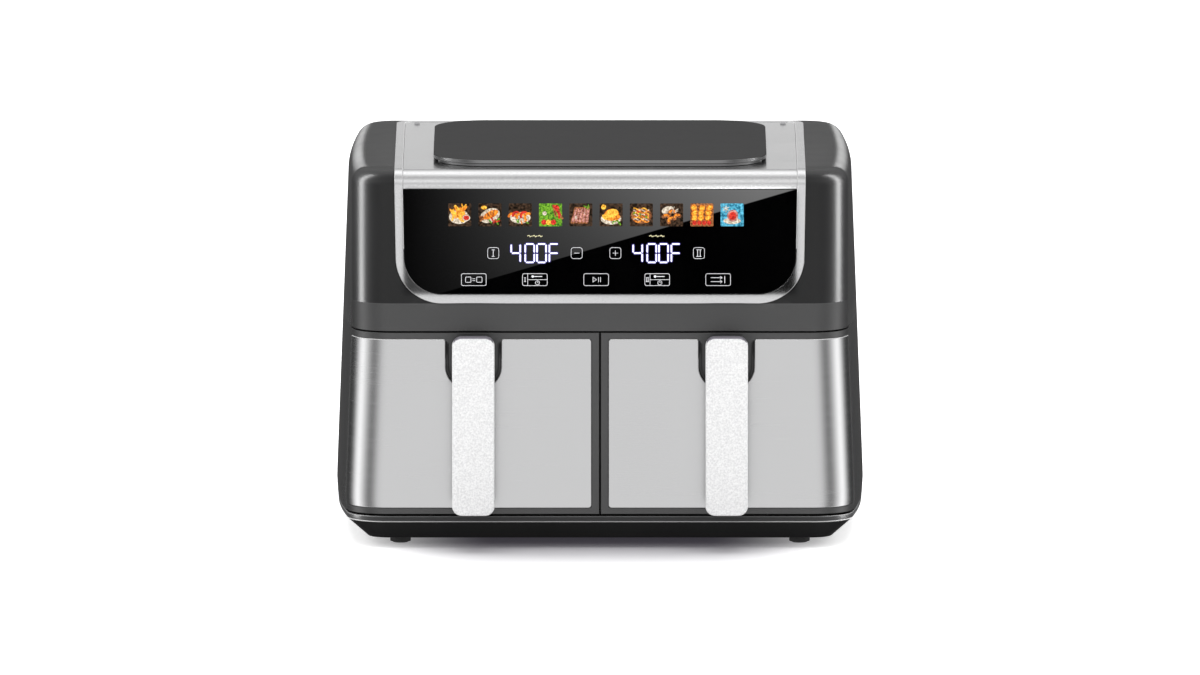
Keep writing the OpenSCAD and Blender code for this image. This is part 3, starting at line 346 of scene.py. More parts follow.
def rim_distance(points, loops):
    """How far each of the points is from the nearest outline."""
    nearest = np.full(len(points), 1e9)
    for loop in loops:
        a = np.array(loop)
        d = np.roll(a, -1, 0) - a
        for start, along in zip(a, d):
            t = np.clip(((points - start) @ along) / max(along @ along, 1e-12), 0, 1)
            nearest = np.minimum(nearest, np.hypot(*(points - start - t[:, None] * along).T))
    return nearest


def enclosed(triangles, outline, points, loops):
    """Leaves out triangles outside the outlines. All those of one patch go by the largest of them."""
    walls = {frozenset(edge) for edge in outline}
    users = {}
    for n, t in enumerate(triangles):
        for i in range(3):
            users.setdefault(frozenset((t[i], t[i - 1])), []).append(n)
    patch = list(range(len(triangles)))

    def root(n):
        while patch[n] != n:
            patch[n] = patch[patch[n]]
            n = patch[n]
        return n

    for edge, pair in users.items():
        if edge not in walls and len(pair) == 2:
            patch[root(pair[0])] = root(pair[1])
    corners = np.array([[points[i] for i in t] for t in triangles])
    ab, ac = corners[:, 1] - corners[:, 0], corners[:, 2] - corners[:, 0]
    area = abs(ab[:, 0] * ac[:, 1] - ab[:, 1] * ac[:, 0])
    kept = inside(corners.mean(1), loops) & (area > 1e-5)
    largest = {}
    for n in np.argsort(area):
        largest[root(n)] = n
    return [t for n, t in enumerate(triangles) if kept[largest[root(n)]]]


def fill_region(loops, u_lines=(), v_lines=(), clear=0.7):
    """Triangles over a region. The loops' own points come first, then crossings of the given lines."""
    points = [Vector(p) for loop in loops for p in loop]
    edges = []
    for loop in loops:
        first = len(edges)
        edges += [(first + i, first + (i + 1) % len(loop)) for i in range(len(loop))]
    crossings = np.array([(u, v) for u in u_lines for v in v_lines], float).reshape(-1, 2)
    if len(crossings):
        crossings = crossings[inside(crossings, loops)]
        crossings = crossings[rim_distance(crossings, loops) > clear]
        points += [Vector(p) for p in crossings]
    placed, _, faces, origins, _, _ = delaunay_2d_cdt(points, edges, [], 1, 1e-6)
    at = []
    for place, origin in zip(placed, origins):
        at.append(origin[0] if origin else len(points))
        if not origin:
            points.append(Vector(place))
    return points, enclosed([[at[i] for i in face] for face in faces], edges, points, loops)


# ---------------------------------------------------------------- building a mesh
class Shape:
    """Points and faces of one piece, with a surface normal for every face corner."""

    def __init__(self):
        self.points = []
        self.faces = []
        self.normals = []

    def add_points(self, points):
        first = len(self.points)
        self.points += [Vector(p) for p in points]
        return list(range(first, len(self.points)))

    def add_face(self, corners, normals):
        self.faces.append(tuple(corners))
        self.normals.append([Vector(n) for n in normals])

    def add_flat(self, corners):
        a, b, c = (self.points[i] for i in corners[:3])
        normal = (b - a).cross(c - a).normalized()
        self.add_face(corners, [normal] * len(corners))

    def add_strip(self, upper, lower, upper_normals, lower_normals, closed=True):
        for i in range(len(upper) if closed else len(upper) - 1):
            j = (i + 1) % len(upper)
            self.add_face((upper[i], lower[i], lower[j], upper[j]),
                          (upper_normals[i], lower_normals[i], lower_normals[j], upper_normals[j]))

    def joined(self, *others):
        for other in others:
            first = len(self.points)
            self.points += other.points
            self.faces += [tuple(i + first for i in f) for f in other.faces]
            self.normals += other.normals
        return self

    def moved(self, matrix):
        turn = matrix.to_3x3().inverted().transposed()
        flipped = matrix.determinant() < 0
        copy = Shape()
        copy.points = [matrix @ p for p in self.points]
        copy.faces = [f[::-1] if flipped else f for f in self.faces]
        copy.normals = [[(turn @ n).normalized() for n in (ns[::-1] if flipped else ns)]
                        for ns in self.normals]
        return copy

    def mirrored(self):
        return self.moved(Matrix.Diagonal((-1, 1, 1, 1)))

    def to_bmesh(self):
        bm = bmesh.new()
        layer = bm.loops.layers.float_vector.new("normal")
        verts = [bm.verts.new(p) for p in self.points]
        for corners, normals in zip(self.faces, self.normals):
            if len(set(corners)) < 3:
                continue
            face = bm.faces.new([verts[i] for i in corners])
            for loop, normal in zip(face.loops, normals):
                loop[layer] = normal
        return bm, layer

    def from_bmesh(self, bm, layer):
        bm.verts.index_update()
        self.points = [v.co.copy() for v in bm.verts]
        self.faces = [tuple(v.index for v in f.verts) for f in bm.faces]
        self.normals = [[l[layer].copy() for l in f.loops] for f in bm.faces]
        bm.free()
        return self

    def welded(self, distance=1e-3):
        bm, layer = self.to_bmesh()
        bmesh.ops.remove_doubles(bm, verts=bm.verts, dist=distance)
        return self.from_bmesh(bm, layer)

    def cut(self, point, away):
        """Takes off what lies beyond a plane and closes the cut."""
        bm, layer = self.to_bmesh()
        away = Vector(away).normalized()
        whole = bm.verts[:] + bm.edges[:] + bm.faces[:]
        cutting = bmesh.ops.bisect_plane(
            bm, geom=whole, dist=1e-5, plane_co=Vector(point), plane_no=away, clear_outer=True)
        rim = [e for e in cutting["geom_cut"] if isinstance(e, bmesh.types.BMEdge) and len(e.link_faces) == 1]
        closing = bmesh.ops.triangle_fill(bm, edges=rim, use_beauty=True)
        for face in closing["geom"]:
            if isinstance(face, bmesh.types.BMFace):
                face.normal_update()
                if face.normal.dot(away) < 0:
                    face.normal_flip()
                for loop in face.loops:
                    loop[layer] = away
        return self.from_bmesh(bm, layer)

    def thickened(self, depth):
        """Gives a sheet a back and closes it round its rims."""
        edge_use = {}
        vertex_normals = {}
        for corners, normals in zip(self.faces, self.normals):
            for i, normal in zip(corners, normals):
                vertex_normals.setdefault(i, normal)
            for i, a in enumerate(corners):
                edge_use.setdefault(frozenset((a, corners[i - 1])), []).append((corners[i - 1], a))
        count = len(self.points)
        self.points += [p - vertex_normals.get(i, Vector()) * depth for i, p in enumerate(self.points)]
        for corners, normals in list(zip(self.faces, self.normals)):
            self.add_face([i + count for i in corners[::-1]], [-n for n in normals[::-1]])
        for users in edge_use.values():
            if len(users) == 1:
                a, b = users[0]
                self.add_flat((b, a, a + count, b + count))
        return self


def frame_at(surface, u, v, step=0.02):
    """Point, outward normal and the two directions of a surface."""
    across = (surface(u + step, v) - surface(u - step, v)).normalized()
    up = (surface(u, v + step) - surface(u, v - step)).normalized()
    return surface(u, v), across.cross(up).normalized(), across, up


def panel(surface, loops, thick, edge_r=0.4, u_lines=(), v_lines=(), steps=4,
          proud=0.0, both=False, clear=0.7):
    """A closed plate that lies on a surface, with its edges rounded over."""
    shape = Shape()
    turns = [(math.pi / 2 * k / steps, 0) for k in range(steps + 1)]
    turns += [(math.pi / 2 * (1 + k / steps), 1) for k in range(steps + 1)] if both else [(math.pi / 2, 2)]
    rims = []
    for turn, at_back in turns:
        inward = edge_r * (1 - math.sin(turn))
        depth = (edge_r * (1 - math.cos(turn)), thick - edge_r * (1 + math.cos(turn)), thick)[at_back]
        rim = []
        for loop in loops:
            places, normals = [], []
            for p, way in zip(inset_loop(loop, inward), outward(loop)):
                point, normal, across, up = frame_at(surface, p.x, p.y)
                side = (across * way.x + up * way.y).normalized()
                places.append(point + normal * (proud - depth))
                normals.append(normal * math.cos(turn) + side * math.sin(turn))
            rim.append((shape.add_points(places), normals))
        rims.append(rim)
    for upper, lower in zip(rims, rims[1:]):
        for (row_a, normals_a), (row_b, normals_b) in zip(upper, lower):
            shape.add_strip(row_a, row_b, normals_a, normals_b)
    for at_back in (False, True):
        inward = edge_r if both or not at_back else 0
        points, triangles = fill_region([inset_loop(l, inward) for l in loops], u_lines, v_lines, clear)
        rim_rows = [i for row, _ in rims[-1 if at_back else 0] for i in row]
        depth = thick if at_back else 0
        frames = [frame_at(surface, p.x, p.y) for p in points]
        normals = [-f[1] if at_back else f[1] for f in frames]
        added = [f[0] + f[1] * (proud - depth) for f in frames[len(rim_rows):]]
        rows = rim_rows + shape.add_points(added)
        for t in triangles:
            t = t[::-1] if at_back else t
            shape.add_face([rows[i] for i in t], [normals[i] for i in t])
    return shape


def plain_sheet(surface, loops, u_lines=(), v_lines=(), clear=0.7):
    """One face of a surface, without thickness."""
    shape = Shape()
    points, triangles = fill_region(loops, u_lines, v_lines, clear)
    frames = [frame_at(surface, p.x, p.y) for p in points]
    rows = shape.add_points([f[0] for f in frames])
    for t in triangles:
        shape.add_face([rows[i] for i in t], [frames[i][1] for i in t])
    return shape


def fillet_path(corners, steps=5):
    """An open path through corners given as (out, up, radius), each rounded by its radius."""
    path = [Vector(corners[0][:2])]
    for before, here, after in zip(corners, corners[1:], corners[2:]):
        p, r = Vector(here[:2]), here[2]
        if r == 0:
            path.append(p)
            continue
        back = (Vector(before[:2]) - p).normalized()
        ahead = (Vector(after[:2]) - p).normalized()
        half = back.angle(ahead) / 2
        centre = p + (back + ahead).normalized() * (r / math.sin(half))
        first = p + back * (r / math.tan(half)) - centre
        sweep = math.copysign(math.pi - 2 * half, -(back.x * ahead.y - back.y * ahead.x))
        path += [centre + Matrix.Rotation(sweep * i / steps, 2) @ first for i in range(steps + 1)]
    path.append(Vector(corners[-1][:2]))
    return path


def profile_normals(path, sharp=40):
    """For each point of a path its normal towards either neighbour, shared where the path is smooth."""
    sides = []
    for a, b in zip(path, path[1:]):
        d = (b - a).normalized()
        sides.append(Vector((d.y, -d.x)))
    pairs = []
    for i in range(len(path)):
        before = sides[max(0, i - 1)]
        after = sides[min(i, len(sides) - 1)]
        if before.angle(after, 0) < math.radians(sharp):
            before = after = (before + after).normalized()
        pairs.append((before, after))
    return pairs


def ring_loft(path, ring, closed=True):
    """Rings that follow a path of (out, height). ring gives each place's point and outward way."""
    shape = Shape()
    normals = profile_normals(path)
    rows = [ring(p.x, p.y) for p in path]
    indices = [shape.add_points([point for point, _ in row]) for row in rows]
    for k in range(len(path) - 1):
        n_low = [way * normals[k][1].x + Vector((0, 0, normals[k][1].y)) for _, way in rows[k]]
        n_high = [way * normals[k + 1][0].x + Vector((0, 0, normals[k + 1][0].y)) for _, way in rows[k + 1]]
        shape.add_strip(indices[k + 1], indices[k], n_high, n_low, closed)
    shape.first_row, shape.last_row = indices[0], indices[-1]
    return shape


def turned(path, steps=48):
    """A turned piece about the upright axis. Its path of (radius, height) runs upwards outside."""
    ways = [Vector((math.cos(a), math.sin(a), 0)) for a in (2 * math.pi * i / steps for i in range(steps))]
    path = [Vector(p) for p in path]

    def ring(r, z):
        return [(way * r + Vector((0, 0, z)), way) for way in ways]

    return ring_loft(path, ring).welded(1e-4)


def piece(name, shape, material, body, stands_for=()):
    """Makes the object in metres, rides it on its body and hides the CAD nodes that it stands for."""
    mesh = bpy.data.meshes.new(name)
    mesh.from_pydata([p * MM for p in shape.points], [], shape.faces)
    mesh.shade_smooth()
    mesh.normals_split_custom_set([tuple(n) for ns in shape.normals for n in ns])
    mesh.materials.append(material)
    obj = bpy.data.objects.new(name, mesh)
    bpy.context.scene.collection.objects.link(obj)
    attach(obj, body)
    if stands_for:
        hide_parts(*stands_for)
    return obj


# ---------------------------------------------------------------- node helpers
class Nodes:
    """Adds nodes to a tree. An input is given either a value or the socket that feeds it."""

    def __init__(self, tree):
        self.tree = tree

    def add(self, kind, inputs=None, **settings):
        node = self.tree.nodes.new("ShaderNode" + kind)
        for label, value in settings.items():
            setattr(node, label, value)
        for label, value in (inputs or {}).items():
            self.feed(node.inputs[label], value)
        return node

    def feed(self, socket, value):
        if isinstance(value, bpy.types.NodeSocket):
            self.tree.links.new(value, socket)
        else:
            socket.default_value = value

    def math(self, operation, a, b=0.0):
        return self.add("Math", {0: a, 1: b}, operation=operation).outputs[0]

    def remap(self, value, low, high, to_low, to_high):
        settings = {"Value": value, "From Min": low, "From Max": high, "To Min": to_low, "To Max": to_high}
        return self.add("MapRange", settings).outputs[0]

    def mix(self, factor, a, b):
        node = self.add("Mix", data_type="RGBA")
        self.feed(node.inputs[0], factor)
        self.feed(node.inputs[6], (*a, 1) if isinstance(a, tuple) else a)
        self.feed(node.inputs[7], (*b, 1) if isinstance(b, tuple) else b)
        return node.outputs[2]

    def noise(self, vector, scale, detail=2.0, roughness=0.5):
        given = {"Vector": vector, "Scale": scale, "Detail": detail, "Roughness": roughness}
        return self.add("TexNoise", given).outputs[0]

    def place(self):
        """The place on the piece, in millimetres."""
        point = self.add("TexCoord").outputs["Object"]
        return self.add("VectorMath", {0: point, 1: (1000, 1000, 1000)}, operation="MULTIPLY").outputs[0]

    def bump(self, height, strength, distance=0.0001):
        return self.add("Bump", {"Height": height, "Strength": strength, "Distance": distance}).outputs[0]


def effect(name, inputs, outputs):
    """A node group for an effect that several finishes use."""
    group = bpy.data.node_groups.new(name, "ShaderNodeTree")
    for label, value in inputs.items():
        kind = "NodeSocketVector" if isinstance(value, tuple) else "NodeSocketFloat"
        group.interface.new_socket(label, in_out="INPUT", socket_type=kind).default_value = value
    for label in outputs:
        group.interface.new_socket(label, in_out="OUTPUT", socket_type="NodeSocketFloat")
    nodes = Nodes(group)
    given = group.nodes.new("NodeGroupInput").outputs
    result = group.nodes.new("NodeGroupOutput").inputs
    return group, nodes, given, result


def make_moulded_grain():
    """Fine bumps of a moulded or sprayed surface, with slow changes over the piece."""
    group, nodes, given, result = effect(
        "moulded_grain", {"Grain mm": 0.5, "Patch mm": 60.0}, ("Height", "Patches"))
    place = nodes.place()
    fine = nodes.noise(place, nodes.math("DIVIDE", 1, given["Grain mm"]), 3, 0.6)
    slow = nodes.noise(place, nodes.math("DIVIDE", 1, given["Patch mm"]), 3, 0.55)
    nodes.feed(result["Height"], fine)
    nodes.feed(result["Patches"], slow)
    return group


def make_brushed_lines():
    """Fine scratches drawn out one way. Stretch is how quickly they change along each axis, per mm."""
    group, nodes, given, result = effect("brushed_lines", {"Stretch": (0.02, 0.02, 4.0)}, ("Height", "Tone"))
    stretched = nodes.add("VectorMath", {0: nodes.place(), 1: given["Stretch"]},
                          operation="MULTIPLY").outputs[0]
    fine = nodes.noise(stretched, 1.0, 4, 0.7)
    wide = nodes.noise(stretched, 0.13, 2, 0.5)
    nodes.feed(result["Height"], fine)
    nodes.feed(result["Tone"], nodes.math("ADD", nodes.math("MULTIPLY", fine, 0.6),
                                          nodes.math("MULTIPLY", wide, 0.4)))
    return group


def make_worn_edges():
    """A mask that is bright along outward edges and breaks up a little along them."""
    group, nodes, given, result = effect("worn_edges", {"Reach": 0.08}, ("Mask",))
    sharpness = nodes.add("NewGeometry").outputs["Pointiness"]
    edge = nodes.remap(sharpness, 0.5, nodes.math("ADD", 0.5, given["Reach"]), 0.0, 1.0)
    broken = nodes.remap(nodes.noise(nodes.place(), 0.35, 4, 0.6), 0.3, 0.65, 0.35, 1.0)
    nodes.feed(result["Mask"], nodes.math("MULTIPLY", edge, broken))
    return group


def make_settled_dust():
    """A faint mask of dust on what faces up."""
    group, nodes, given, result = effect("settled_dust", {"Amount": 0.05}, ("Mask",))
    facing = nodes.add("SeparateXYZ", {0: nodes.add("NewGeometry").outputs["Normal"]}).outputs["Z"]
    level = nodes.remap(facing, 0.5, 1.0, 0.0, 1.0)
    specks = nodes.remap(nodes.noise(nodes.place(), 1.6, 5, 0.7), 0.45, 0.75, 0.2, 1.0)
    nodes.feed(result["Mask"], nodes.math("MULTIPLY", nodes.math("MULTIPLY", level, specks), given["Amount"]))
    return group


def make_wiped_marks():
    """Soft smears left by wiping and handling."""
    group, nodes, given, result = effect("wiped_marks", {"Size mm": 35.0}, ("Mask",))
    place = nodes.add("VectorMath", {0: nodes.place(), 1: (1.0, 1.0, 0.6)}, operation="MULTIPLY").outputs[0]
    smear = nodes.noise(place, nodes.math("DIVIDE", 1, given["Size mm"]), 5, 0.62)
    nodes.feed(result["Mask"], nodes.remap(smear, 0.42, 0.68, 0.0, 1.0))
    return group


moulded_grain = make_moulded_grain()
brushed_lines = make_brushed_lines()
worn_edges = make_worn_edges()
settled_dust = make_settled_dust()
wiped_marks = make_wiped_marks()


# ---------------------------------------------------------------- finishes
def new_finish(name, **constants):
    """A material with its shader; the constants are set on the shader's own sockets."""
    material = bpy.data.materials.new(name)
    material.use_nodes = True
    shader = material.node_tree.nodes["Principled BSDF"]
    for label, value in constants.items():
        shader.inputs[label.replace("_", " ").title().replace("Ior", "IOR")].default_value = value
    return material, Nodes(material.node_tree), shader.inputs


def use(nodes, group, **values):
    """Places an effect in a material, with its own values."""
    node = nodes.add("Group", node_tree=group)
    for label, value in values.items():
        node.inputs[label.replace("_", " ")].default_value = value
    return node.outputs


def moulded_plastic(name, colour, edge_colour, roughness, grain, bump, dust=0.03, **constants):
    """Plastic out of a fine-grained mould, paler at its edges and lightly dusty on top."""
    material, nodes, shader = new_finish(name, **constants)
    texture = use(nodes, moulded_grain, Grain_mm=grain, Patch_mm=70)
    edges = use(nodes, worn_edges, Reach=0.1)["Mask"]
    dusty = use(nodes, settled_dust, Amount=dust)["Mask"]
    body = nodes.mix(texture["Patches"], tuple(c * 0.9 for c in colour), tuple(c * 1.1 for c in colour))
    edged = nodes.mix(nodes.math("MULTIPLY", edges, 0.35), body, edge_colour)
    nodes.feed(shader["Base Color"], nodes.mix(dusty, edged, (0.32, 0.31, 0.30)))
    spread = nodes.remap(texture["Patches"], 0.3, 0.7, roughness - 0.03, roughness + 0.03)
    nodes.feed(shader["Roughness"], nodes.math("ADD", spread, nodes.math("MULTIPLY", dusty, 0.5)))
    nodes.feed(shader["Normal"], nodes.bump(texture["Height"], bump))
    return material


def satin_metal(name, colour, roughness, grain, bump, wiped=0.03, **constants):
    """Sprayed satin metal with a fine sparkle."""
    material, nodes, shader = new_finish(name, **constants)
    texture = use(nodes, moulded_grain, Grain_mm=grain, Patch_mm=90)
    marks = use(nodes, wiped_marks, Size_mm=40)["Mask"]
    sparkle = nodes.remap(texture["Height"], 0.35, 0.65, 0.93, 1.05)
    shaded = nodes.add("VectorMath", {0: colour, 1: sparkle}, operation="MULTIPLY")
    nodes.feed(shader["Base Color"], shaded.outputs[0])
    nodes.feed(shader["Roughness"], nodes.remap(marks, 0.0, 1.0, roughness, roughness + wiped))
    nodes.feed(shader["Normal"], nodes.bump(texture["Height"], bump))
    return material


def brushed_metal(name, colour, roughness, stretch, contrast, bump, **constants):
    """Metal brushed one way, with faint smears."""
    material, nodes, shader = new_finish(name, metallic=1.0, **constants)
    lines = use(nodes, brushed_lines, Stretch=stretch)
    marks = use(nodes, wiped_marks, Size_mm=55)["Mask"]
    tone = nodes.remap(lines["Tone"], 0.35, 0.65, 1 - contrast, 1 + contrast)
    shaded = nodes.add("VectorMath", {0: colour, 1: tone}, operation="MULTIPLY")
    nodes.feed(shader["Base Color"], shaded.outputs[0])
    varied = nodes.remap(lines["Tone"], 0.35, 0.65, roughness - 0.03, roughness + 0.03)
    nodes.feed(shader["Roughness"], nodes.math("ADD", varied, nodes.math("MULTIPLY", marks, 0.02)))
    nodes.feed(shader["Normal"], nodes.bump(lines["Height"], bump))
    return material


def make_cover_black():
    """Coarser grain that looks like fine leather."""
    material, nodes, shader = new_finish("cover_black", specular_ior_level=0.12)
    texture = use(nodes, moulded_grain, Grain_mm=0.9, Patch_mm=60)
    dusty = use(nodes, settled_dust, Amount=0.05)["Mask"]
    cells = nodes.add("TexVoronoi", {"Vector": nodes.place(), "Scale": 0.75},
                      feature="DISTANCE_TO_EDGE").outputs[0]
    pebbled = nodes.math("ADD", nodes.remap(cells, 0.0, 0.25, 0.0, 1.0),
                         nodes.math("MULTIPLY", texture["Height"], 0.5))
    body = nodes.mix(texture["Patches"], (0.017, 0.017, 0.0175), (0.022, 0.022, 0.0225))
    nodes.feed(shader["Base Color"], nodes.mix(dusty, body, (0.33, 0.32, 0.31)))
    nodes.feed(shader["Roughness"], nodes.remap(texture["Patches"], 0.3, 0.7, 0.52, 0.58))
    nodes.feed(shader["Normal"], nodes.bump(pebbled, 0.25))
    return material


def make_panel_glass():
    """Polished black glass with the faintest smears."""
    material, nodes, shader = new_finish("panel_glass", ior=1.5)
    marks = use(nodes, wiped_marks, Size_mm=30)["Mask"]
    nodes.feed(shader["Base Color"], nodes.mix(marks, (0.0004, 0.0004, 0.0005), (0.0008, 0.0008, 0.0009)))
    nodes.feed(shader["Roughness"], nodes.remap(marks, 0.0, 1.0, 0.015, 0.035))
    return material


def make_handle_silver():
    """Silver-white lacquer with fine bright and dark specks."""
    material, nodes, shader = new_finish(
        "handle_silver", metallic=0.35, coat_roughness=0.35, coat_weight=0.15)
    texture = use(nodes, moulded_grain, Grain_mm=0.45, Patch_mm=40)
    specks = nodes.noise(nodes.place(), 0.75, 2, 0.5)
    lacquer = nodes.mix(nodes.remap(specks, 0.32, 0.68, 0.0, 1.0), (0.66, 0.66, 0.665), (0.87, 0.87, 0.87))
    nodes.feed(shader["Base Color"], lacquer)
    nodes.feed(shader["Roughness"], nodes.remap(texture["Patches"], 0.3, 0.7, 0.42, 0.5))
    nodes.feed(shader["Normal"], nodes.bump(texture["Height"], 0.12))
    return material


def make_pan_coating():
    """Dark non-stick coating with pale flecks."""
    material, nodes, shader = new_finish("pan_coating", coat_weight=0.2, coat_roughness=0.2)
    texture = use(nodes, moulded_grain, Grain_mm=0.7, Patch_mm=30)
    flecks = nodes.add("TexVoronoi", {"Vector": nodes.place(), "Scale": 0.55}).outputs["Distance"]
    fleck = nodes.remap(flecks, 0.1, 0.16, 1.0, 0.0)
    body = nodes.mix(texture["Patches"], (0.020, 0.020, 0.021), (0.032, 0.032, 0.033))
    nodes.feed(shader["Base Color"], nodes.mix(nodes.math("MULTIPLY", fleck, 0.35), body, (0.30, 0.30, 0.31)))
    nodes.feed(shader["Roughness"], nodes.remap(texture["Patches"], 0.3, 0.7, 0.30, 0.42))
    nodes.feed(shader["Normal"], nodes.bump(texture["Height"], 0.2))
    return material


def make_heater_steel():
    """A heating rod, tinted by heat in bands."""
    material, nodes, shader = new_finish("heater_steel", metallic=1.0)
    bands = nodes.noise(nodes.place(), 0.06, 3, 0.5)
    tint = nodes.remap(bands, 0.35, 0.65, 0, 1)
    nodes.feed(shader["Base Color"], nodes.mix(tint, (0.16, 0.13, 0.11), (0.24, 0.22, 0.21)))
    nodes.feed(shader["Roughness"], nodes.remap(bands, 0.3, 0.7, 0.42, 0.6))
    nodes.feed(shader["Normal"], nodes.bump(use(nodes, moulded_grain, Grain_mm=0.4)["Height"], 0.3))
    return material


def make_circuit_board():
    """Green lacquer over paler copper tracks."""
    material, nodes, shader = new_finish("circuit_board", specular_ior_level=0.5)
    cells = nodes.add("TexVoronoi", {"Vector": nodes.place(), "Scale": 0.16, "Randomness": 0.9},
                      distance="CHEBYCHEV")
    tracks = nodes.math("PINGPONG", cells.outputs["Distance"], 0.09)
    track = nodes.remap(tracks, 0.045, 0.055, 0.0, 1.0)
    nodes.feed(shader["Base Color"], nodes.mix(track, (0.01, 0.09, 0.035), (0.03, 0.19, 0.07)))
    nodes.feed(shader["Roughness"], nodes.remap(track, 0.0, 1.0, 0.38, 0.28))
    nodes.feed(shader["Normal"], nodes.bump(track, 0.3))
    return material


def food_ink(name, light, dark, glow=0.35, size=0.9):
    """A printed food colour, mottled, and lit from behind."""
    material, nodes, shader = new_finish(name, emission_strength=glow, roughness=0.5, specular_ior_level=0.0)
    mottle = nodes.remap(nodes.noise(nodes.place(), size, 4, 0.7), 0.41, 0.60, 0.0, 1.0)
    colour = nodes.mix(mottle, dark, light)
    nodes.feed(shader["Base Color"], colour)
    nodes.feed(shader["Emission Color"], colour)
    return material


casing_black = moulded_plastic("casing_black", (0.010, 0.010, 0.0103), (0.03, 0.03, 0.03),
                               0.30, 0.2, 0.02, 0.01, specular_ior_level=0.25)
band_black = moulded_plastic("band_black", (0.030, 0.030, 0.0305), (0.06, 0.06, 0.06),
                             0.36, 0.5, 0.04, 0.01, specular_ior_level=0.8)
base_black = moulded_plastic("base_black", (0.005, 0.005, 0.0052), (0.02, 0.02, 0.02),
                             0.34, 0.4, 0.03, specular_ior_level=0.2)
# Painted light: a lighter black for the base's upright lip, as it is lit, against the darker slope below.
painted_lit_lip = moulded_plastic("painted_lit_lip", (0.024, 0.024, 0.0245), (0.05, 0.05, 0.05),
                            0.36, 0.4, 0.05, specular_ior_level=0.25)
# Painted highlight: a pale grey for the line along the top edge of the base's lip.
painted_lip_highlight = moulded_plastic("painted_lip_highlight", (0.085, 0.085, 0.086), (0.12, 0.12, 0.12),
                            0.36, 0.4, 0.05, specular_ior_level=0.25)
# Painted highlight: a pale grey for the line along the base's crease.
painted_crease_highlight = moulded_plastic("painted_crease_highlight", (0.34, 0.34, 0.34), (0.4, 0.4, 0.4),
                              0.4, 0.4, 0.05, specular_ior_level=0.25)
# Painted shade: near black for the gap between each drawer frame and the base.
painted_gap_shade = moulded_plastic("painted_gap_shade", (0.004, 0.004, 0.004), (0.01, 0.01, 0.01),
                            0.5, 0.3, 0.05, specular_ior_level=0.1)
cover_rim = satin_metal("cover_rim", (0.23, 0.23, 0.232), 0.24, 0.3, 0.03, metallic=1.0)
# Painted shade: a dark purple-grey for the top of each grip cover.
painted_grip_top_shade = satin_metal("painted_grip_top_shade", (0.17, 0.16, 0.185), 0.35, 0.3, 0.03, metallic=0.0)
# Painted highlight: a pale colour for bright lines along edges.
painted_edge_highlight = satin_metal("painted_edge_highlight", (0.80, 0.80, 0.80), 0.35, 0.3, 0.03, metallic=0.0)
inner_black = moulded_plastic("inner_black", (0.022, 0.022, 0.023), (0.06, 0.06, 0.06), 0.52, 0.6, 0.25)
handle_black = moulded_plastic("handle_black", (0.016, 0.016, 0.0165), (0.06, 0.06, 0.06), 0.38, 0.4, 0.12)
rubber_black = moulded_plastic("rubber_black", (0.020, 0.020, 0.020), (0.05, 0.05, 0.05), 0.72, 0.8, 0.35)
bumper_grey = moulded_plastic("bumper_grey", (0.06, 0.06, 0.062), (0.1, 0.1, 0.1), 0.6, 0.7, 0.3)
terminal_cream = moulded_plastic("terminal_cream", (0.62, 0.57, 0.45), (0.7, 0.66, 0.55), 0.45, 0.6, 0.2)
plunger_red = moulded_plastic("plunger_red", (0.30, 0.03, 0.03), (0.4, 0.1, 0.1), 0.4, 0.5, 0.2)
frame_silver = satin_metal("frame_silver", (0.70, 0.70, 0.705), 0.24, 0.8, 0.10, metallic=1.0)
deck_silver = satin_metal("deck_silver", (0.70, 0.70, 0.705), 0.22, 1.2, 0.10, metallic=1.0)
front_steel = brushed_metal("front_steel", (0.62, 0.62, 0.625), 0.24, (0.008, 0.008, 2.2), 0.016, 0.004)
sheet_steel = brushed_metal("sheet_steel", (0.50, 0.50, 0.51), 0.34, (0.05, 0.6, 0.6), 0.08, 0.1)
screw_steel = brushed_metal("screw_steel", (0.52, 0.52, 0.53), 0.3, (2.0, 0.2, 0.2), 0.08, 0.1)
guard_steel = satin_metal("guard_steel", (0.46, 0.45, 0.43), 0.34, 0.5, 0.15, metallic=1.0)
motor_steel = satin_metal("motor_steel", (0.42, 0.42, 0.43), 0.38, 0.5, 0.2, metallic=1.0)
sensor_steel = satin_metal("sensor_steel", (0.50, 0.49, 0.46), 0.3, 0.5, 0.1, metallic=1.0)
cover_black = make_cover_black()
panel_glass = make_panel_glass()
handle_silver = make_handle_silver()
pan_coating = make_pan_coating()
heater_steel = make_heater_steel()
circuit_board = make_circuit_board()

# ---------------------------------------------------------------- base and feet
CORNER_STEP = 2.0
FLAT_STEP = 12.0
HALF_RUNS = sorted({round(r, 4) for r in (
    *spaced(0, FRONT_RUN, FLAT_STEP),
    *spaced(FRONT_RUN, FRONT_RUN + CORNER_RUN, CORNER_STEP),
    *spaced(FRONT_RUN + CORNER_RUN, HALF_RUN - REAR_RUN - REAR_CORNER_RUN, 8),
    *spaced(HALF_RUN - REAR_RUN - REAR_CORNER_RUN, HALF_RUN - REAR_RUN, CORNER_STEP),
    *spaced(HALF_RUN - REAR_RUN, HALF_RUN, FLAT_STEP))})
RING_RUNS = [-r for r in HALF_RUNS[:0:-1]] + HALF_RUNS[:-1]


def casing_ring(out, z):
    """Places round the casing at a height, each with its outward way."""
    places = []
    for run in RING_RUNS:
        here = Vector((*plan_point(run, z, -out), z))
        way = Vector((*plan_point(run, z, -out - 1), z)) - here
        places.append((here, way.normalized()))
    return places


def slot_loop(x0, x1, y, width):
    r = width / 2
    return closed_path([arc((x1 - r, y), r, -90, 90, 6), arc((x0 + r, y), r, 90, 270, 6)], 12)


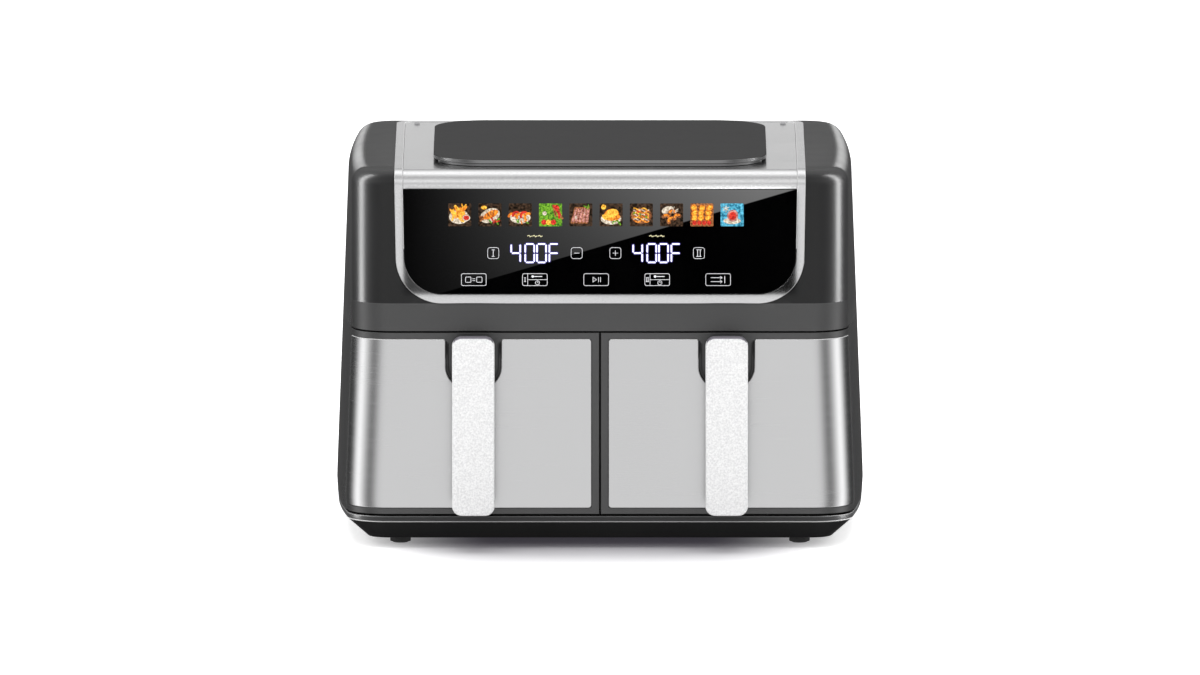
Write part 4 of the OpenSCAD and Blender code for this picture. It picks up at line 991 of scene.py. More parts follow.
def base_shape():
    floor_z = foot_h + wall
    under = base_slope + 2
    path = fillet_path([
        (-under, foot_h, 0), (-base_slope, foot_h, 1.5), (0, crease_z, 1.1), (0, base_top, 0.8),
        (-2.6, base_top, 0.3), (-2.6, crease_z + 1, 1), (-under, floor_z, 0)])
    shell = ring_loft(path + path[:1], casing_ring)
    outer = [Vector(plan_point(run, foot_h, base_slope + 0.5)) for run in RING_RUNS]
    slots = [hole(slot_loop(side * 75.5 - 30, side * 75.5 + 30, 10 * i, 3))
             for side in (-1, 1) for i in range(-4, 5)]
    return shell.welded().joined(panel(top_face(floor_z), [outer] + slots, wall, 0.3, steps=2, both=True))


def paint(obj, material, chosen):
    """Gives a further material to the faces for which chosen(middle in mm, normal) holds."""
    obj.data.materials.append(material)
    for face in obj.data.polygons:
        if chosen(face.center / MM, face.normal):
            face.material_index = len(obj.data.materials) - 1


def paint_band(obj, material, low, high):
    """Paints the faces that look outwards between two heights."""
    paint(obj, material, lambda p, n: low < p.z <= high and n.x ** 2 + n.y ** 2 > 0.1)


base = piece("base_tray_shell", base_shape(), base_black, "casing", ["base_tray"])
# Painted highlight: a pale line along the crease above the base's slope.
paint_band(base, painted_crease_highlight, crease_z - 0.35, crease_z + 0.75)
# Painted light: the upright lip is painted lighter, as it is lit.
paint_band(base, painted_lit_lip, crease_z + 0.75, base_top - 0.9)
# Painted highlight: a pale line along the top edge of the lip.
paint_band(base, painted_lip_highlight, base_top - 0.9, base_top)


def foot_shape():
    r = 7.8
    return turned(fillet_path([
        (0, 0, 0), (r - 2.2, 0, 0.4), (r - 1.8, 0.7, 0.3), (r, 0.9, 0.4), (r, foot_h, 0.5),
        (r - 3, foot_h, 0), (3, foot_h + 3, 0), (0, foot_h + 4, 0)]))


feet = Shape()
for foot_x in (-151, 151):
    for foot_y in (front_y + 36, rear_y - 36):
        feet.joined(foot_shape().moved(Matrix.Translation((foot_x, foot_y, 0))))
piece("rubber_feet", feet, rubber_black, "casing", ["feet"])

# ---------------------------------------------------------------- side shells, housing and fascia
SEAM_RUN = 198.0                # a little in front of the front seam, where the shapes are cut off
SIDE_LINES = [r for r in HALF_RUNS if r > SEAM_RUN]
rear_z0, rear_z1 = rear_low.z, rear_high.z
rear_x = rear_high.x + 0.3


def side_shell_shape():
    top_z = upper_z0 - parting
    surface = casing_surface()
    middle = rear_run(parting / 2, 50)
    corners = [(SEAM_RUN, base_top), (middle, base_top), (middle, rear_z0 - 0.3),
               (rear_run(rear_x, rear_z0), rear_z0 - 0.3), (rear_run(rear_x, top_z), top_z),
               (SEAM_RUN, top_z)]
    loop = closed_path([[Vector(c)] for c in corners], 3)
    shape = panel(surface, [loop], wall, 0.35, SIDE_LINES, spaced(base_top, top_z, 6), steps=3)
    return shape.cut((0, part_y, 0), (0, -1, 0))


side_shell = side_shell_shape()
piece("right_side_panel", side_shell, casing_black, "casing", ["right_side_shell"])
piece("left_side_panel", side_shell.mirrored(), casing_black, "casing", ["left_side_shell"])


def silver_half_w(height, grow=0.0):
    """Half of the frame's width at a height along the front."""
    return frame_half_w + grow - frame_taper * max(0, body_h - roll_r - height)


def shield(top, grow, foot, r, top_r, band=0.0):
    """The frame's outline: round at its lower corners in front and at its rear corners on the deck."""
    half_top = frame_half_w + grow - band
    half_foot = silver_half_w(foot + r, grow) - band
    bend = body_h - roll_r
    return closed_path([
        arc((half_foot - r, foot + r), r, -90, 0, 24), [Vector((half_top, bend))],
        arc((half_top - top_r, top - top_r), top_r, 0, 90),
        arc((-half_top + top_r, top - top_r), top_r, 90, 180),
        [Vector((-half_top, bend))], arc((-half_foot + r, foot + r), r, 180, 270, 24)], 3)


def deck_run(y, edge_r=roll_r):
    """The height along the front, over the edge and back, at which the deck reaches a depth."""
    return body_h - edge_r + edge_r * math.pi / 2 + y - (front_y + panel_set + edge_r)


def housing_shape():
    surface = casing_surface(shoulder_r)
    top_z = body_h - shoulder_r + shoulder_r * math.pi / 2
    lines = SIDE_LINES + [2 * HALF_RUN - r for r in SIDE_LINES[-2::-1]]
    low = upper_z0
    right, left = rear_run(rear_x, low), 2 * HALF_RUN - rear_run(rear_x, low)
    panel_top = rear_z1 + 0.3
    far = 2 * HALF_RUN - SEAM_RUN
    walls = closed_path([[Vector((SEAM_RUN, low))], [Vector((right, low))],
                         [Vector((rear_run(rear_x, panel_top), panel_top))],
                         [Vector((2 * HALF_RUN - rear_run(rear_x, panel_top), panel_top))],
                         [Vector((left, low))], [Vector((far, low))]], 3)
    walls = walls[:-len(line((far, low), (SEAM_RUN, low), 3))]
    walls += line((far, low), (far, top_z), 3)
    walls += [Vector((r, top_z)) for r in [far] + lines[::-1] + [SEAM_RUN]]
    walls += line((SEAM_RUN, top_z), (SEAM_RUN, low), 3)[1:]
    heights = spaced(low, body_h - shoulder_r, 8) + spaced(body_h - shoulder_r, top_z, 1.1)
    shape = plain_sheet(surface, [walls], lines, heights)
    rim = [Vector(surface(r, top_z)[:2]) for r in [SEAM_RUN] + lines + [far]]
    half, back, ahead = frame_half_w + trim_gap / 2, frame_y1 + trim_gap / 2, part_y - 3
    seat = [Vector((-half, ahead))] + arc((-half + deck_r, back - deck_r), deck_r, 180, 90)
    seat += arc((half - deck_r, back - deck_r), deck_r, 90, 0) + [Vector((half, ahead))]
    shape.joined(plain_sheet(top_face(body_h), [rim + seat]))
    shape = shape.welded(1e-3)
    return shape.thickened(wall).cut((0, part_y, 0), (0, -1, 0))


piece("upper_casing", housing_shape(), casing_black, "casing", ["upper_housing"])

ROLL_TOP = body_h - roll_r + roll_r * math.pi / 2
ROLL_LINES = spaced(body_h - roll_r, ROLL_TOP, 0.9)
CREASE_LINES = [band_z + step for step in (-2.4, -1.2, -0.6, -0.3, 0, 0.3, 0.6, 1.2, 2.4)]


def fascia_shape():
    surface = casing_surface(roll_r)
    end_run = FRONT_RUN + CORNER_RUN + 6
    far = ROLL_TOP + corner_r - 0.5 - roll_r
    seat = shield(far + 60, trim_gap / 2, band_z - trim_gap / 2, frame_r, 2)
    seat = [p for p in seat if p.y < far]
    first = next(i for i, p in enumerate(seat) if p.x < 0 and seat[i - 1].x > 0 and p.y > band_z + frame_r)
    seat = seat[first:] + seat[:first]
    edge_x = frame_half_w + trim_gap / 2
    loop = line((-end_run, upper_z0), (end_run, upper_z0), 2.5) + line((end_run, upper_z0), (end_run, far), 3)
    loop += line((end_run, far), (edge_x, far), 2.5) + [Vector((edge_x, far))]
    loop += seat[::-1]
    loop += [Vector((-edge_x, far))] + line((-edge_x, far), (-end_run, far), 2.5)[1:]
    loop += line((-end_run, far), (-end_run, upper_z0), 3)
    runs = [r for r in HALF_RUNS if r <= end_run]
    runs = [-r for r in runs[:0:-1]] + runs
    heights = sorted({*spaced(upper_z0, band_z, 5), *CREASE_LINES, *spaced(band_z, body_h - roll_r, 9),
                      *ROLL_LINES, *spaced(ROLL_TOP, far, 3)})
    shape = panel(surface, [loop], wall - 0.4, 0.35, runs, heights, steps=3)
    return shape.cut((0, fascia_y1, 0), (0, 1, 0))


fascia = fascia_shape()
low_fascia = Shape().joined(fascia).cut((0, 0, band_z), (0, 0, 1))
high_fascia = Shape().joined(fascia).cut((0, 0, band_z), (0, 0, -1))
piece("front_fascia_shell", high_fascia, casing_black, "casing", ["front_fascia"])
piece("fascia_band", low_fascia, band_black, "casing", ())

# ---------------------------------------------------------------- silver frame, deck and raised cover
def roof(x, height):
    """The panel's flat front, carried on over the front edge and back along the top."""
    edge_z = body_h - roll_r
    turn = min(max(0, (height - edge_z) / roll_r), math.pi / 2)
    reach = max(0, height - ROLL_TOP)
    y = front_y + panel_set + roll_r * (1 - math.cos(turn)) + reach
    return Vector((x, y, min(height, edge_z) + roll_r * math.sin(turn)))


def trim_shape():
    outer = shield(deck_run(frame_y1), 0, band_z, frame_r, deck_r)
    inner = shield(deck_run(frame_y1 - frame_band), 0, glass_z0,
                   frame_r - frame_band, deck_r - frame_band, frame_band)
    return panel(roof, [outer, hole(inner)], frame_proud + 1, 0.45, v_lines=ROLL_LINES,
                 u_lines=(-frame_half_w + frame_band / 2, frame_half_w - frame_band / 2), proud=frame_proud)


trim = piece("silver_frame", trim_shape(), frame_silver, "casing", ["trim_frame"])
# Painted highlight: a pale line along the frame's inner edge beside the glass.
paint(trim, painted_edge_highlight, lambda p, n: abs(p.x) > 120 and p.x * n.x < -30 and p.z > glass_z0 + 36)

inlet_half = 0.26 * 252
cover_mid_y = (cover_low.y + cover_high.y) / 2


def deck_shape():
    half = frame_half_w - frame_band - trim_gap
    back = deck_run(frame_y1 - frame_band - trim_gap)
    r = deck_r - frame_band
    front = glass_z1 + trim_gap
    outer = closed_path([[Vector((half, front))], arc((half - r, back - r), r, 0, 90),
                         arc((-half + r, back - r), r, 90, 180), [Vector((-half, front))]], 3)
    pitch = 2 * inlet_half / 15
    slots = []
    for side in (-1, 1):
        for i in range(-7, 8):
            x, y = side * inlet_half / 2, deck_run(cover_mid_y + i * pitch)
            slots.append(hole(slot_loop(x - 0.44 * inlet_half, x + 0.44 * inlet_half, y, 3.4)))
    return panel(roof, [outer] + slots, 1.4, 0.35, spaced(-half, half, 5), ROLL_LINES,
                 steps=3, proud=deck_proud)


piece("deck_panel", deck_shape(), deck_silver, "casing", ["deck_plate"])
plugs = Shape()
for plug_x in (-139.7, 139.7):
    dome = turned(fillet_path([(0, 0, 0), (2.0, 0, 0), (2.0, 1.0, 0.7), (0, 1.5, 0)]))
    plugs.joined(dome.moved(Matrix.Translation((plug_x, 139, body_h + 0.22))))
piece("deck_plugs", plugs, motor_steel, "casing", ())


def cover_shape():
    plate = round_rect(cover_low.x, cover_high.x, cover_low.y, cover_high.y, 40, 32, 8)
    shape = panel(top_face(cover_high.z), [plate], 3.3, 0.7, both=True, steps=6)
    for x in (-100, 100):
        for side in (-1, 1):
            leg = turned(fillet_path([
                (0, body_h + 0.1, 0), (5, body_h + 0.1, 0),
                (5, cover_high.z - 2.5, 0), (0, cover_high.z - 2.5, 0)]))
            shape.joined(leg.moved(Matrix.Translation((x, cover_mid_y + side * 96.5, 0))))
    return shape


cover = piece("raised_cover", cover_shape(), cover_black, "casing", ["top_vent_cover"])
paint_band(cover, cover_rim, cover_high.z - 2.9, cover_high.z - 0.3)


def cover_skirt_shape():
    """The metal strip under the cover's front and sides. Air enters at the back."""
    rings = []
    for inset in (3.5, 5.0):
        rings.append(round_rect(cover_low.x + inset, cover_high.x - inset,
                                cover_low.y + inset, cover_high.y - inset, 40 - inset, 32, 8))
    strip = panel(top_face(cover_high.z - 3.5), [rings[0], hole(rings[1])], 2.1, 0.3, both=True, steps=2)
    return strip.cut((0, cover_high.y - 60, 0), (0, 1, 0))


piece("cover_skirt", cover_skirt_shape(), cover_rim, "casing", ())


def glass_shape():
    half_top = frame_half_w - frame_band - trim_gap
    half_foot = silver_half_w(glass_z0 + 29) - frame_band - trim_gap
    r, foot = frame_r - frame_band, glass_z0 + trim_gap
    loop = closed_path([arc((half_foot - r, foot + r), r, -90, 0, 24), [Vector((half_top, glass_z1))],
                        [Vector((-half_top, glass_z1))], arc((-half_foot + r, foot + r), r, 180, 270, 24)])
    return panel(front_face(glass_low.y), [loop], 3, 0.3)


piece("panel_glass", glass_shape(), panel_glass, "casing", ["display_glass"])

# ---------------------------------------------------------------- drawer fronts
skin_z0, skin_z1 = drawer_z0 + skin_border, drawer_z1 - skin_border
skin_x0 = drawer_low.x + skin_inner_border
skin_end_y = drawer_high.y - skin_end
DRAWER_END = FRONT_RUN + CORNER_RUN + 8
DRAWER_RUNS = [r for r in HALF_RUNS if r <= DRAWER_END]
pocket_z0 = skin_z1 - pocket_h


def skin_outline(grow, notch):
    """The steel's outline on the right drawer, with or without the notch for the pocket."""
    r = skin_r + grow
    x0, z0, z1 = skin_x0 - grow, skin_z0 - grow, skin_z1 + grow
    ends = [Vector((run_at_depth(skin_end_y + grow, z), z)) for z in spaced(z0 + r, z1 - r, 6)]
    low_end, high_end = ends[0].x, ends[-1].x
    stretches = [arc((low_end - r, z0 + r), r, -90, 0, 6), ends, arc((high_end - r, z1 - r), r, 0, 90, 6)]
    if notch:
        left, right = handle_x - pocket_w / 2 - grow, handle_x + pocket_w / 2 + grow
        lip_r = 1.6
        stretches += [
            arc((right + lip_r, z1 - lip_r), lip_r, 90, 180, 5),
            arc((right - pocket_r, pocket_z0 + pocket_r), pocket_r, 0, -90, 14),
            arc((left + pocket_r, pocket_z0 + pocket_r), pocket_r, -90, -180, 14),
            arc((left - lip_r, z1 - lip_r), lip_r, 0, 90, 5)]
    stretches += [arc((x0 + r, z1 - r), r, 90, 180, 6), arc((x0 + r, z0 + r), r, 180, 270, 6)]
    return closed_path(stretches, 2.5)


def drawer_frame_shape():
    loop = closed_path([[Vector((drawer_low.x, drawer_z0))], [Vector((DRAWER_END, drawer_z0))],
                        [Vector((DRAWER_END, drawer_z1))], [Vector((drawer_low.x, drawer_z1))]], 2.5)
    opening = hole(skin_outline(0.15, False))
    shape = panel(casing_surface(), [loop, opening], wall, 0.5, DRAWER_RUNS,
                  spaced(drawer_z0, drawer_z1, 6), steps=4)
    return shape.cut((0, drawer_high.y, 0), (0, 1, 0))


def pocket_shape():
    """The scooped recess behind the handle, deepest at its foot."""
    left, right = handle_x - pocket_w / 2, handle_x + pocket_w / 2
    fillet = 3.0
    top = skin_z1 + 0.1
    loop = closed_path([
        arc((right - pocket_r, pocket_z0 + pocket_r), pocket_r, -90, 0, 14),
        [Vector((right, top))], [Vector((left, top))],
        arc((left + pocket_r, pocket_z0 + pocket_r), pocket_r, 180, 270, 14)])

    def floor_y(z):
        return front_y + 0.15 + pocket_depth * min(1, max(0, (top - z) / pocket_h))

    shape = Shape()
    rims = []
    for k in range(7):
        turn = math.pi / 2 * k / 6
        shrunk = inset_loop(loop, fillet * (1 - math.cos(turn)))
        row = [p if p.y > top - 0.5 else q for p, q in zip(loop, shrunk)]
        rise = fillet * (1 - math.sin(turn))
        places = [Vector((p.x, max(front_y + 0.05, floor_y(p.y) - rise), p.y)) for p in row]
        normals = [Vector((-w.x * math.cos(turn), -math.sin(turn), -w.y * math.cos(turn)))
                   for w in outward(loop)]
        rims.append((row, shape.add_points(places), normals))
    for (_, lower, normals_b), (_, upper, normals_a) in zip(rims, rims[1:]):
        shape.add_strip(upper, lower, normals_a, normals_b)
    _, triangles = fill_region([rims[-1][0]])
    slope = Vector((0, -1, -pocket_depth / pocket_h)).normalized()
    for t in triangles:
        shape.add_face([rims[-1][1][i] for i in t], [slope] * 3)
    return shape.thickened(1.2)


def steel_shape():
    return panel(casing_surface(), [skin_outline(0, True)], skin_t, 0.6, DRAWER_RUNS,
                 spaced(skin_z0, skin_z1, 6), steps=4)


# The grip's side view is a C: two arms that carry an upright block behind the cover.
arm_h = 16
arm_w = 25
grip_back_y = handle_high.y


def handle_core_shape():
    z0, z1 = handle_low.z + 2.8, handle_high.z - 2.8
    y0, y1 = handle_low.y + 2.8, drawer_high.y - wall
    inner = 5.0
    loop = closed_path([
        arc((y0 + 2, z0 + 2), 2, 180, 270, 5),
        [Vector((y1, z0))], [Vector((y1, z0 + arm_h))],
        arc((grip_back_y + inner, z0 + arm_h + inner), inner, -90, -180, 8),
        arc((grip_back_y + inner, z1 - arm_h - inner), inner, 180, 90, 8),
        [Vector((y1, z1 - arm_h))], [Vector((y1, z1))], arc((y0 + 2, z1 - 2), 2, 90, 180, 5)], 6)
    face = flat_surface((handle_x + arm_w / 2, 0, 0), (0, 1, 0), (0, 0, 1))
    return panel(face, [loop], arm_w, 1.4, both=True, steps=4)


def handle_cover_shape():
    loop = round_rect(handle_low.x, handle_high.x, handle_low.z, handle_high.z, 7.2, 12, 6)
    shape = panel(front_face(handle_low.y), [loop], grip_back_y - handle_low.y, 1.3, both=True, steps=5)
    return shape


def both_sides(name, shape, material, body, node):
    """The piece of the right drawer, and its mirror image for the left one."""
    for side, sign in SIDES:
        piece(f"{side}_{name}", shape if sign > 0 else shape.mirrored(), material, f"{side}_{body}",
              [f"{side}_{node}"] if node else ())


both_sides("drawer_frame", drawer_frame_shape(), band_black, "drawer", "drawer_front")
both_sides("grip_pocket", pocket_shape(), band_black, "drawer", None)
both_sides("steel_front", steel_shape(), front_steel, "drawer", "steel_skin")
for side, _ in SIDES:
    # Painted shade: the foot of the drawer frame is painted near black, for the gap above the base.
    paint_band(bpy.data.objects[f"{side}_drawer_frame"], painted_gap_shade, 0, drawer_z0 + 0.7)
    # Painted highlight: a pale line along the top edge of the steel.
    paint(bpy.data.objects[f"{side}_steel_front"], painted_edge_highlight,
          lambda p, n: n.z > 0.4 and p.z > skin_z1 - 0.5)
both_sides("grip_core", handle_core_shape(), handle_black, "drawer", "handle_core")
both_sides("grip_cover", handle_cover_shape(), handle_silver, "drawer", "handle_cover")
for side, _ in SIDES:
    # Painted shade on the rounded top of each grip cover.
    paint(bpy.data.objects[f"{side}_grip_cover"], painted_grip_top_shade,
          lambda p, n: n.z > 0.35 and p.z > handle_high.z - 4)

# ---------------------------------------------------------------- rear panel and cord gland
rear_lap = 5
slot_pitch = 7
slot_h = 3
cell_x = 93.35
pan_y = 6.8


def slot_bank(x, half, z0, count):
    """A stack of level slots with round ends."""
    return [hole(slot_loop(x - half, x + half, z0 + i * slot_pitch + slot_h / 2, slot_h))
            for i in range(count)]


def back_panel_shape():
    outline = round_rect(-rear_high.x, rear_high.x, rear_z0, rear_z1, 1.5, 4, 8)
    holes = []
    for side in (-1, 1):
        holes += slot_bank(side * cell_x, 0.4 * cell_x - 3, 158, 3)
        holes += slot_bank(side * 0.55 * cell_x, 0.41 * cell_x, 212, 6)
        for z in (rear_z0 + rear_lap / 2, 0.6 * rear_z0 + 0.4 * rear_z1, rear_z1 - rear_lap / 2):
            holes.append(hole(circle(side * (rear_high.x - rear_lap / 2), z, 2.3)))
    return panel(rear_face(rear_high.y), [outline] + holes, 1.5, 0.08, steps=2)


piece("rear_panel", back_panel_shape(), inner_black, "casing", ["back_panel"])


def gland_shape():
    bore, sleeve, flange = 3.9, 7.0, 9.5
    path = fillet_path([
        (bore, -8, 0), (bore, 3.9, 0.8), (flange, 3.9, 1.4), (flange, 0.05, 0.2),
        (sleeve, 0.05, 0), (sleeve, -8, 0), (bore, -8, 0)])
    ring = turned([(p.x, -p.y) for p in path])
    middle = (gland_low + gland_high) / 2
    return ring.moved(Matrix.Translation((middle.x, rear_y, middle.z)) @ Matrix.Rotation(math.pi / 2, 4, "X"))


piece("cord_grommet", gland_shape(), rubber_black, "casing", ["cord_gland"])

# ---------------------------------------------------------------- pans and trays
pan_rim = 4
pan_rim_t = 2
pan_wall = 1.5
pan_r = 18
pan_z0, pan_z1 = pan_low.z, pan_high.z


def rounded_ring(loop, nearest_y=-1e9):
    """Rings of one outline, grown or shrunk, that stop at a depth."""
    ways = outward(loop)

    def ring(out, z):
        places = []
        for p, way in zip(loop, ways):
            q = p + way * out
            places.append((Vector((q.x, max(q.y, nearest_y), z)), Vector((*way, 0))))
        return places

    return ring


def cap(shape, row, upward):
    """Closes a row of points with a level face."""
    _, triangles = fill_region([[shape.points[i].to_2d() for i in row]])
    way = Vector((0, 0, 1 if upward else -1))
    for t in triangles:
        shape.add_face([row[i] for i in (t if upward else t[::-1])], [way] * 3)


def pan_shape():
    loop = round_rect(pan_low.x + pan_rim, pan_high.x - pan_rim,
                      pan_low.y, pan_high.y - pan_rim, pan_r, 12, 8)
    path = fillet_path([
        (-7, pan_z0, 0), (0, pan_z0, 7), (0, pan_z1 - pan_rim_t, 1.0),
        (pan_rim, pan_z1 - pan_rim_t, 0.6), (pan_rim, pan_z1, 0.9), (-pan_wall, pan_z1, 1.2),
        (-pan_wall, pan_z0 + pan_wall, 6), (-9, pan_z0 + pan_wall, 0)], 7)
    shape = ring_loft(path, rounded_ring(loop, pan_low.y))
    cap(shape, shape.first_row, False)
    cap(shape, shape.last_row, True)
    return shape


def tray_shape():
    x0, x1, y0, y1 = tray_low.x, tray_high.x, tray_low.y, tray_high.y
    r, thick, pitch = 13.3, 1.6, 17
    holes = [hole(circle(cell_x, pan_y, 11, 36))]
    for i in range(-3, 4):
        for j in range(-6, 7):
            if math.hypot(i, j) * pitch > 18.2:
                holes.append(hole(circle(cell_x + i * pitch, pan_y + j * pitch, 3.6, 20)))
    shape = panel(top_face(tray_high.z), [round_rect(x0, x1, y0, y1, r, 10, 6)] + holes, thick, 0.5, steps=3)
    under = tray_high.z - thick
    skirt = fillet_path([
        (0, tray_high.z - 6 - thick, 0.5), (0, tray_high.z - thick + 0.1, 0), (-thick, under, 0),
        (-thick, tray_high.z - 6 - thick, 0.5), (0, tray_high.z - 6 - thick, 0)])
    shape.joined(ring_loft(skirt, rounded_ring(round_rect(x0, x1, y0, y1, r, 10, 6))).welded())
    for leg_x in (x0 + 18, x1 - 18):
        for leg_y in (y0 + 18, y1 - 18):
            foot = fillet_path([
                (0, tray_low.z, 0), (3.5, tray_low.z, 0.8), (3.5, under, 0), (0, under, 0)])
            shape.joined(turned(foot, 28).moved(Matrix.Translation((leg_x, leg_y, 0))))
    return shape


both_sides("pan_bowl", pan_shape(), pan_coating, "drawer", "pan")
both_sides("tray_plate", tray_shape(), pan_coating, "tray", "tray")

# ---------------------------------------------------------------- what stays as the CAD has it
def dress(material, *nodes):
    """Gives CAD nodes a finish."""
    for node in nodes:
        solid = frame["nodes"][node]
        if not solid.material_slots:
            solid.data.materials.append(material)
        for place in solid.material_slots:
            place.material = material


def pair(*nodes):
    return [f"{side}_{node}" for side, _ in SIDES for node in nodes]


dress(inner_black, "front_bezel", "display_carrier", "motor_plate", *pair("drawer_back", "switch"))
dress(sheet_steel, "exhaust_ducts", *pair("chamber", "fan_well"))
dress(screw_steel, "casing_screws", *pair("drawer_screws", "fan_shaft"))
dress(heater_steel, *pair("heater"))
dress(guard_steel, *pair("heater_guard", "convection_fan", "cooling_fan"))
dress(motor_steel, *pair("motor"))
dress(sensor_steel, "temperature_sensors")
dress(circuit_board, "touch_board", "power_board")
dress(terminal_cream, "terminal_block")
dress(plunger_red, *pair("plunger"))
dress(bumper_grey, *pair("tray_bumpers"))

# ---------------------------------------------------------------- signs on the glass
food_gold = food_ink("food_gold", (0.95, 0.56, 0.08), (0.42, 0.15, 0.01))
food_orange = food_ink("food_orange", (0.90, 0.30, 0.03), (0.30, 0.06, 0.01))
food_red = food_ink("food_red", (0.66, 0.05, 0.03), (0.20, 0.01, 0.01))
food_brown = food_ink("food_brown", (0.36, 0.14, 0.05), (0.07, 0.02, 0.01))
food_pink = food_ink("food_pink", (0.56, 0.27, 0.23), (0.16, 0.05, 0.04))
food_green = food_ink("food_green", (0.18, 0.40, 0.03), (0.02, 0.08, 0.01))
food_cream = food_ink("food_cream", (0.66, 0.60, 0.50), (0.24, 0.18, 0.12))
food_teal = food_ink("food_teal", (0.10, 0.42, 0.58), (0.01, 0.09, 0.15), size=0.5)
table_dark = food_ink("table_dark", (0.06, 0.035, 0.022), (0.004, 0.003, 0.002), size=0.6)
sign_white = food_ink("sign_white", (0.62, 0.62, 0.64), (0.46, 0.46, 0.48), 0.8)
sign_yellow = food_ink("sign_yellow", (0.62, 0.58, 0.36), (0.45, 0.42, 0.24), 0.8)
digit_glow = food_ink("digit_glow", (0.06, 0.055, 0.20), (0.04, 0.035, 0.14), 0.6)
digit_light = food_ink("digit_light", (0.93, 0.93, 1.0), (0.82, 0.82, 1.0), 0.9)

print_sheets = {}


def ribbon(points, width):
    """The outline of a line of a width through points, with round ends."""
    points = [Vector(p) for p in points]
    r = width / 2
    left, right = [], []
    for i, p in enumerate(points):
        along = (points[min(i + 1, len(points) - 1)] - points[max(i - 1, 0)]).normalized()
        left.append(p + Vector((-along.y, along.x)) * r)
        right.append(p + Vector((along.y, -along.x)) * r)
    first, last = points[0] - points[1], points[-1] - points[-2]
    start = math.degrees(math.atan2(first.y, first.x))
    end = math.degrees(math.atan2(last.y, last.x))
    far_end = arc(points[-1], r, end - 90, end + 90, 6)
    near_end = arc(points[0], r, start - 90, start + 90, 6)
    return right[:-1] + far_end + left[-2:0:-1] + near_end


class Sign:
    """One picture or sign on the glass, made of flat patches that lie over each other."""

    def __init__(self, x, z):
        self.middle = Vector((x, z))
        self.layer = 0

    def patch(self, ink, *loops):
        self.layer += 1
        y = glass_low.y - 0.005 - 0.012 * self.layer
        placed = [[p + self.middle for p in loop] for loop in loops]
        print_sheets.setdefault(ink.name, Shape()).joined(plain_sheet(front_face(y), placed).thickened(0.01))

    def blob(self, ink, x, z, rx, rz=None, turn=0.0):
        matrix = Matrix.Rotation(math.radians(turn), 2)
        self.patch(ink, [Vector((x, z)) + matrix @ Vector((p.x * rx, p.y * (rz or rx)))
                         for p in circle(0, 0, 1, 18)])

    def bar(self, ink, points, width):
        self.patch(ink, ribbon(points, width))

    def outline(self, ink, w, h, r, stroke):
        inner = round_rect(stroke - w / 2, w / 2 - stroke, stroke - h / 2, h / 2 - stroke,
                           r - stroke, 5, 3)
        self.patch(ink, round_rect(-w / 2, w / 2, -h / 2, h / 2, r, 5, 3), hole(inner))


tile_size = 17.4


def start_tile(x, back):
    sign = Sign(x, 253.6)
    half = tile_size / 2
    sign.patch(back, round_rect(-half, half, -half, half, 0.7, 3, 3))
    return sign


def sticks(sign, dice, inks, count, middle, spread, length, width, low=20, high=160):
    """Short bars thrown over each other."""
    for i in range(count):
        turn = math.radians(dice.uniform(low, high))
        x, z = middle[0] + dice.uniform(-1, 1) * spread[0], middle[1] + dice.uniform(-1, 1) * spread[1]
        way = Vector((math.cos(turn), math.sin(turn))) * length / 2
        sign.bar(inks[i % len(inks)], [Vector((x, z)) - way, Vector((x, z)) + way], width)


def crescent(sign, ink, x, z, r, start, width, sweep=150):
    sign.bar(ink, arc((x, z), r, start, start + sweep, 8), width)


def draw_chips(x, dice):
    sign = start_tile(x, table_dark)
    sign.blob(food_cream, -0.5, -1.5, 7.6, 5.4)
    sticks(sign, dice, [food_gold, food_orange, food_gold], 26, (-1.2, 1.2), (4.6, 3.6), 7.0, 1.15)
    sign.blob(food_cream, 5, -2.2, 2.9, 2.5)
    sign.blob(food_red, 5, -2.2, 2.2, 1.8)


def draw_fish(x, dice):
    sign = start_tile(x, table_dark)
    sign.blob(food_cream, 0, -0.5, 7.8, 5.2, 24)
    sign.patch(food_brown, [Vector(p) for p in ((-7.6, -5.4), (-4.2, -3.6), (-5.4, -0.4), (-7.9, -1.2))])
    sign.blob(food_orange, 0.6, 0.2, 6.2, 2.7, 28)
    for i in range(4):
        sign.bar(food_brown, [(i * 2 - 3, -2 + i), (i * 2 - 3.6, 0.4 + i)], 0.7)
    sticks(sign, dice, [food_green, food_red], 6, (3.5, -4.6), (3.5, 1.6), 2.6, 1.1)
    sign.blob(food_gold, -4.5, 5.6, 2.2, 1.5)


def draw_prawns(x, dice):
    sign = start_tile(x, table_dark)
    sign.blob(food_cream, 0, -2.2, 7.8, 4.4)
    for i in range(5):
        crescent(sign, food_red if i % 2 else food_orange, i * 3 - 6, -1.6 + (i % 2), 2.6, 20 + 12 * i, 1.9)
    sticks(sign, dice, [food_green, food_orange], 5, (0, -5), (6, 1), 2.2, 0.9)


def draw_vegetables(x, dice):
    sign = start_tile(x, food_green)
    for _ in range(7):
        sign.blob(food_green, dice.uniform(-7, 0), dice.uniform(-2, 7), dice.uniform(1.2, 2))
    sticks(sign, dice, [food_red, food_brown], 5, (5, 1.4), (2.2, 2.4), 8, 1.7, 95, 130)
    for i in range(3):
        sign.blob(food_red if i != 1 else food_gold, -5 + 3.6 * i, -5.6, 2)
    sign.blob(food_cream, -4.5, 1.2, 1.6)


def draw_steak(x, dice):
    sign = start_tile(x, table_dark)
    for i in range(5):
        sign.bar(food_brown, [(-6.2 + i * 2.6, -5.4), (-3.4 + i * 2.2, 4.6)], 2.9)
        sign.bar(food_pink, [(-5.9 + i * 2.6, -4.8), (-3.3 + i * 2.2, 4.0)], 2.0)
    sticks(sign, dice, [food_cream, food_pink], 7, (0, -0.5), (5, 3.6), 1.8, 0.5, 60, 100)
    sticks(sign, dice, [food_green], 3, (5, 6), (2, 1), 2, 0.8)


